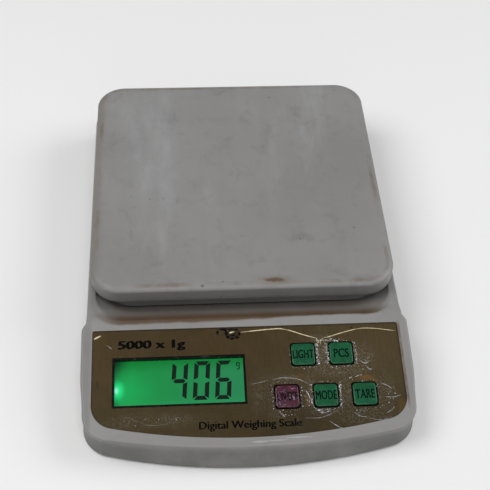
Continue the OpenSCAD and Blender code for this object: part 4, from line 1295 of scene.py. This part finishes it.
def film_tears():
    """Torn and lifted slivers of film round the keys, and the scratches across it."""
    s = Shape()
    rand = random.Random(5)
    for row in TEAR_ROWS:
        glints(s, rand, *row)
    for u, v, length, angle, width in SLIVERS:
        sliver(s, rand, (u, v), length, angle, width, 0.2, 0.2)
    for points, width in LONG_MARKS:
        ridge(s, curve_through(points, 5), width * 0.72, 0.12)
    return s.build("film_tears", 80)


def key_scuffs():
    """Scraps of film stuck to the power key's top."""
    s = Shape()
    rand = random.Random(9)
    u, v, _ = KEYS["power"]
    for _ in range(26):
        a, b = rand.uniform(-5.4, 5.4), rand.uniform(-5.4, 5.4)
        angle = rand.choice([0.7, 2.3]) + rand.uniform(-0.5, 0.5)
        length = rand.uniform(0.8, 3.0)
        step = np.array([math.cos(angle), math.sin(angle)]) * length / 4
        bend = np.array([-step[1], step[0]]) * rand.uniform(-0.4, 0.4)
        path = [np.array([a, b]) + step * k + bend * math.sin(k) for k in range(5)]
        path = [np.clip(p, -5.9, 5.9) for p in path]
        rings = []
        for i, p in enumerate(path):
            w = 0.13 * (0.4 + 0.6 * math.sin(math.pi * (i + 0.4) / 5))
            side = np.array([-step[1], step[0]]) / (length / 4) * w
            row = [(p - side, 0.0), (p, 0.07), (p + side, 0.0)]
            rings.append([panel_pt(u + q[0], v + q[1], key_top(*q) + lift) for q, lift in row])
        s.solid(rings)
    return s.build("power_key_scuffs", 80)


def blemish():
    """A scorched, lifted patch at the overlay's rear edge."""
    s = Shape()
    rand = random.Random(3)
    spots = [(-10.9, -3.4, 0.9, 1.3), (-10.0, -5.6, 1.2, 0.8), (-7.8, -6.6, 1.6, 0.6)]
    spots += [(-5.0, -6.0, 1.2, 0.7), (-3.9, -3.8, 0.6, 1.2), (-5.4, -1.3, 1.1, 0.5)]
    spots += [(-8.4, -1.0, 1.5, 0.5), (-7.3, -4.7, 1.5, 0.45), (-12.9, -0.9, 1.7, 0.4)]
    spots += [(-11.4, -1.7, 0.8, 0.6), (-15.6, -2.7, 0.6, 0.8)]
    for u, v, wide, high in spots:
        turns = np.linspace(0, 2 * math.pi, 15)[:-1]
        edge = [0.7 + 0.5 * rand.random() for _ in turns]
        rings = []
        for size, n in ((1.0, 0.12), (0.8, 0.2), (0.45, 0.28), (0.12, 0.3)):
            ring = []
            for t, e in zip(turns, edge):
                rough = 1 + rand.uniform(-0.1, 0.1)
                a = u + wide * e * size * math.cos(t) * rough
                b = v + high * e * size * math.sin(t) * rough
                ring.append(panel_pt(a, b, n + rand.uniform(-0.03, 0.05) * (size < 1)))
            rings.append(ring)
        s.solid(rings)
    return s.build("panel_blemish", 40)


def circle(x, y, r, z, sides=36):
    turn = np.arange(sides) * 2 * math.pi / sides
    return np.column_stack([x + r * np.cos(turn), y + r * np.sin(turn), np.full(sides, z)])


def cross_screw(s, x, y, head_r, head_z, under_z, shank_r, tip_z, turn=0.4):
    """A pan-head screw with a cross recess, its head facing down."""
    crown = (under_z - head_z) * 0.5
    arm, half = head_r * 0.62, head_r * 0.17
    plus = [
        (arm, -half), (arm, half), (half, half), (half, arm), (-half, arm), (-half, half),
        (-arm, half), (-arm, -half), (-half, -half), (-half, -arm), (half, -arm), (half, -half),
    ]
    c, q = math.cos(turn), math.sin(turn)
    plus = np.array([(x + a * c - b * q, y + a * q + b * c) for a, b in plus])

    def ring(r, z):
        return circle(x, y, r, z)

    crest = head_r * 0.78
    rings = [ring(crest, head_z)]
    for a in (30, 60, 90):
        r = crest + (head_r - crest) * math.sin(math.radians(a))
        rings.append(ring(r, head_z + crown * (1 - math.cos(math.radians(a)))))
    rings += [ring(head_r, under_z), ring(shank_r * 1.02, under_z)]
    pitch, z = 0.9, under_z + 0.4
    while z < tip_z - 1.4:
        rings += [ring(shank_r * 0.8, z), ring(shank_r, z + pitch * 0.35)]
        rings += [ring(shank_r, z + pitch * 0.5)]
        z += pitch
    rings += [ring(shank_r * 0.8, tip_z - 1.2), ring(shank_r * 0.15, tip_z)]
    s.loft(rings)
    s.cap(rings[-1])
    s.fill(rings[0][:, :2], [plus], lambda a, b: (a, b, head_z))
    deep = head_z + crown + 0.35
    centre = np.array([x, y])
    floor = centre + (plus - centre) * 0.72
    s.loft([at_height(plus, head_z), at_height(floor, deep)])
    s.cap(at_height(floor, deep))


def cell_bar():
    """The load cell: a square bar along X with the double bore that lets it bend."""
    s = Shape()
    middle = (CELL_BOTTOM + CELL_TOP) / 2
    outline = rounded_box(CELL_HALF, CELL_BOTTOM, CELL_TOP, 0.4, 3, 8)
    neck = math.degrees(math.asin(SLIT_HALF / BORE_R))
    bore = arc(BORE_X, middle, BORE_R, neck - 180, 180 - neck, 40)
    bore += arc(-BORE_X, middle, BORE_R, neck, 360 - neck, 40)
    faces = [PLATFORM_Y + side * (CELL_TOP - CELL_BOTTOM) / 2 for side in (-1, 1)]
    for y in faces:
        s.fill(outline, [bore], lambda a, b, y=y: (a, y, b))
    for loop in (outline, bore):
        s.loft([np.array([(a, y, b) for a, b in loop]) for y in faces])
    return s.build("load_cell_bar", 30)


def case_screw_set():
    s = Shape()
    rand = random.Random(2)
    for x, y in CASE_SCREWS:
        cross_screw(s, x, y, 2.6, 2.6, 4.4, 1.25, 14.0, rand.uniform(0, 1.5))
    return s.build("case_screws_cross", 35)


def cell_screw_set():
    s = Shape()
    for x, turn in ((-35, 0.3), (-25, 1.1)):
        cross_screw(s, x, PLATFORM_Y, 3.5, 2.3, 4.6, 1.95, 14.0, turn)
    return s.build("cell_screws_cross", 35)


def rubber_foot(name, x, y):
    """A stick-on foot: domed tread with a ring groove and a soft outer edge."""
    s = Shape()
    profile = [(5.4, 2.5), (6.3, 2.4), (6.5, 2.0), (6.5, 1.2), (6.3, 0.6), (5.8, 0.2), (5.2, 0.0)]
    profile += [(4.4, 0.0), (4.15, 0.12), (4.05, 0.4), (3.75, 0.4), (3.65, 0.12), (3.4, 0.0)]
    profile += [(0.4, 0.0)]
    s.solid([circle(x, y, r, z, 40) for r, z in profile])
    return s.build(name, 50)


# ---------------------------------------------------------------- the object, put together

CASE_TONE = linear(137, 136, 135)
TRAY_TONE = linear(134, 133, 132)


def node_materials():
    """A material for each CAD node that stays as it is."""
    nickel = metal("contact_nickel", linear(190, 186, 176))
    steel = metal("screw_steel", linear(150, 150, 152))
    black = fine_plastic("display_black_plastic", linear(9, 10, 10), 0.3, vary=0.3, gloss=0.15)
    nylon = fine_plastic("plug_nylon", linear(214, 208, 190), 0.45)
    jacket = fine_plastic("battery_jacket", linear(38, 46, 84), 0.3, 0.00001)
    grey = fine_plastic("cable_grey", linear(176, 176, 172), 0.45, seed=2)
    dark = fine_plastic("switch_black", linear(22, 22, 24), 0.4, vary=0.3)
    white = fine_plastic("reflector_white", linear(226, 226, 222), 0.4)
    return {
        "panel_overlay": overlay_material(),
        "protective_film": film_material(),
        "lcd_bezel": black,
        "lcd_window": clear("display_window_clear", linear(20, 60, 44), 0.06, 0.08, 0.03),
        "lcd_gasket": fine_plastic("foam_black", linear(20, 20, 20), 0.9, 0.0001, 900, 0.4),
        "lcd_glass": display_material(),
        "lcd_holder": black,
        "backlight_guide": clear("light_guide_acrylic", linear(90, 220, 140), 0.55, 0.15),
        "backlight_reflector": white,
        "backlight_led": fine_plastic("led_green", linear(70, 200, 120), 0.2, 0.00001),
        "zebra_strips": fine_plastic("contact_elastomer", linear(190, 110, 130), 0.7, 0.00003),
        "main_board": board_material(),
        "controller_chip": fine_plastic("chip_epoxy", linear(18, 18, 20), 0.35, vary=0.3),
        "board_components": fine_plastic("component_blue", linear(44, 60, 120), 0.35),
        **dict.fromkeys(["sensor_plug", "battery_plug"], nylon),
        "tact_switches": dark,
        "board_screws": steel,
        **{f"plunger_{key}": dark for key in KEYS},
        "strain_gauge_covers": fine_plastic("silicone_white", linear(222, 222, 214), 0.35, 0.0001, 300),
        "upper_spacer": metal("spacer_aluminium", linear(186, 188, 192), 0.42),
        "platform_cell_screws": steel,
        "platform_carrier": skirt_material(),
        "overload_stops": steel,
        "sensor_cable": grey,
        "battery_lead_positive": fine_plastic("lead_red", linear(160, 30, 28), 0.4),
        "battery_lead_negative": fine_plastic("lead_black", linear(20, 20, 22), 0.4, vary=0.3),
        **dict.fromkeys(["contact_positive", "contact_negative"], nickel),
        **dict.fromkeys(["battery_cell_left", "battery_cell_right"], jacket),
        "lower_case": aged_plastic("lower_plastic_aged", CASE_TONE, 0.5, (), 9.0, 0.00004, 0.4),
        "battery_door": aged_plastic("door_plastic_aged", CASE_TONE, 0.5, (), 12.0, 0.00004, 0.4),
    }


def dress_nodes():
    """Puts each CAD node's material on it."""
    for name, material in node_materials().items():
        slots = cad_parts[name].data.materials
        slots.clear()
        slots.append(material)


def build_keys():
    """The five keys with their legends, and the film stuck to the red one."""
    green = linear(10, 82, 50)
    ink = ink_material("key_legend_ink", linear(4, 12, 9))
    for i, (key, (u, v, words)) in enumerate(KEYS.items()):
        body = f"{key}_key"
        cap = keycap(f"keycap_{key}", u, v)
        red = key == "power"
        tone = red_key_material() if red else key_material(f"key_green_{key}", green, i * 4.0)
        finish_piece(cap, tone, body, "key_red" if red else "key_green", f"key_{key}")
        width = LEGEND_WIDTHS[key]
        label = lettering(f"legend_{key}", words, u, v - 0.1, width, 5.0, 0.13, key_top, 0.03)
        finish_piece(label, ink, body, None)
    film = wrinkle_material("scuffed_film", linear(170, 150, 172), 0.3, 0.15)
    finish_piece(key_scuffs(), film, "power_key", None)


def build_panel_print():
    ink = ink_material()
    for name, words, u, v, width, height, bold in (
        ("print_capacity", "5000 x 1g", -51.4, -9.2, 35.6, 6.3, 0.5),
        ("print_title", "Digital Weighing Scale", -0.4, -56.0, 53.4, 5.4, 0.22),
    ):
        finish_piece(lettering(name, words, u, v, width, height, bold), ink, "housing", None)


def build_cell():
    """The load cell's bar, riding on the housing, with a mesh of its own."""
    bar = cell_bar()
    aluminium = metal("cell_aluminium", linear(196, 198, 202), 0.4, (0.06, 1, 1))
    finish_piece(bar, aluminium, "housing", "cell_aluminium", "load_cell")
    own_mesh(bar)


def build_object():
    """Materials for the CAD nodes, then every Blender piece."""
    dress_nodes()
    case = case_material()
    finish_piece(housing_shell(), case, "housing", "case_plastic", "upper_case")
    finish_piece(tray_shell(), tray_material(), "platform", "tray_plastic", "platform_tray")
    build_keys()
    build_panel_print()
    finish_piece(display_digits(), digit_material(), "housing", "display_glass")
    # The folds' bright cream colour is a painted highlight.
    crease_highlight = wrinkle_material("film_crease_highlight", linear(246, 232, 190))
    finish_piece(film_creases(), crease_highlight, "housing", "clear_film")
    torn = wrinkle_material("film_torn_white", linear(236, 240, 246), 0.3, 0.12)
    finish_piece(film_tears(), torn, "housing", "clear_film")
    finish_piece(blemish(), ink_material("scorched_print", linear(15, 11, 8)), "housing", None)
    steel = metal("screw_steel_bright", linear(168, 168, 170), 0.28)
    finish_piece(case_screw_set(), steel, "housing", "screw_steel", "case_screws")
    finish_piece(cell_screw_set(), steel, "housing", "screw_steel", "base_cell_screws")
    build_cell()
    rubber = fine_plastic("foot_rubber_black", linear(26, 26, 27), 0.75, 0.00005, 1200, 0.3)
    for place, (x, y) in FEET.items():
        foot = rubber_foot(f"rubber_foot_{place}", x, y)
        finish_piece(foot, rubber, "housing", "foot_rubber", f"foot_{place}")


# ---------------------------------------------------------------- studio


def build_floor():
    s = Shape()
    rings = [at_height(rounded_box(r, -r, r, r * 0.98, 16, 1), 0.0) for r in (200, 700, 2500, 9000)]
    s.loft(rings)
    s.cap(rings[0])
    floor = s.build("studio_floor", 30)
    floor.data.materials.append(floor_material())


def area_light(name, place, aim, size, power):
    data = bpy.data.lights.new(name, "AREA")
    data.shape = "RECTANGLE"
    data.size, data.size_y = size
    data.energy = power
    lamp = bpy.data.objects.new(name, data)
    lamp.location = place
    lamp.rotation_mode = "QUATERNION"
    lamp.rotation_quaternion = (Vector(aim) - Vector(place)).to_track_quat("-Z", "Y")
    bpy.context.scene.collection.objects.link(lamp)


def build_lights():
    area_light("soft_key", (-0.75, -0.02, 1.12), (0, 0, 0), (0.8, 0.8), 8.5)
    area_light("soft_right", (1.08, 0.18, 0.90), (0, 0, 0), (0.8, 0.8), 7.1)
    area_light("soft_over", (0.05, -0.50, 1.20), (0, 0, 0), (0.45, 0.30), 2.6)
    area_light("soft_front", (0.10, -1.25, 0.60), (0, 0, 0.02), (0.9, 0.5), 0.9)
    world = bpy.data.worlds.new("studio_world")
    world.use_nodes = True
    back = world.node_tree.nodes["Background"]
    back.inputs["Color"].default_value = (1, 1, 1, 1)
    back.inputs["Strength"].default_value = 0.27
    bpy.context.scene.world = world
    bpy.context.scene.view_settings.view_transform = "Standard"


# The photograph's viewing angle, in radians and millimetres
VIEW_EL, VIEW_AZ, VIEW_ROLL, VIEW_DIST = 0.873, -0.093, 0.045, 595.16
VIEW_TARGET = (2.48, 8.56, 20.0)
VIEW_LENS, VIEW_SHIFT = 73.53, (0.0042, -0.0023)


def build_camera():
    """The photograph's view: placed by angles round a point of the scale, and turned by its roll."""
    flat = math.cos(VIEW_EL)
    back = Vector((math.sin(VIEW_AZ) * flat, -math.cos(VIEW_AZ) * flat, math.sin(VIEW_EL)))
    right = (-back).cross(Vector((0, 0, 1))).normalized()
    up = back.cross(right)
    x = right * math.cos(VIEW_ROLL) + up * math.sin(VIEW_ROLL)
    y = up * math.cos(VIEW_ROLL) - right * math.sin(VIEW_ROLL)
    place = Vector(VIEW_TARGET) + back * VIEW_DIST
    data = bpy.data.cameras.new("camera")
    data.lens, data.sensor_width = VIEW_LENS, 36.0
    data.shift_x, data.shift_y = VIEW_SHIFT
    data.clip_start, data.clip_end = 0.02, 50
    camera = bpy.data.objects.new("camera", data)
    turned_to = Matrix((x, y, back)).transposed().to_4x4()
    camera.matrix_world = Matrix.Translation(place * MM) @ turned_to
    bpy.context.scene.collection.objects.link(camera)
    bpy.context.scene.camera = camera


build_object()
build_floor()
build_lights()
build_camera()
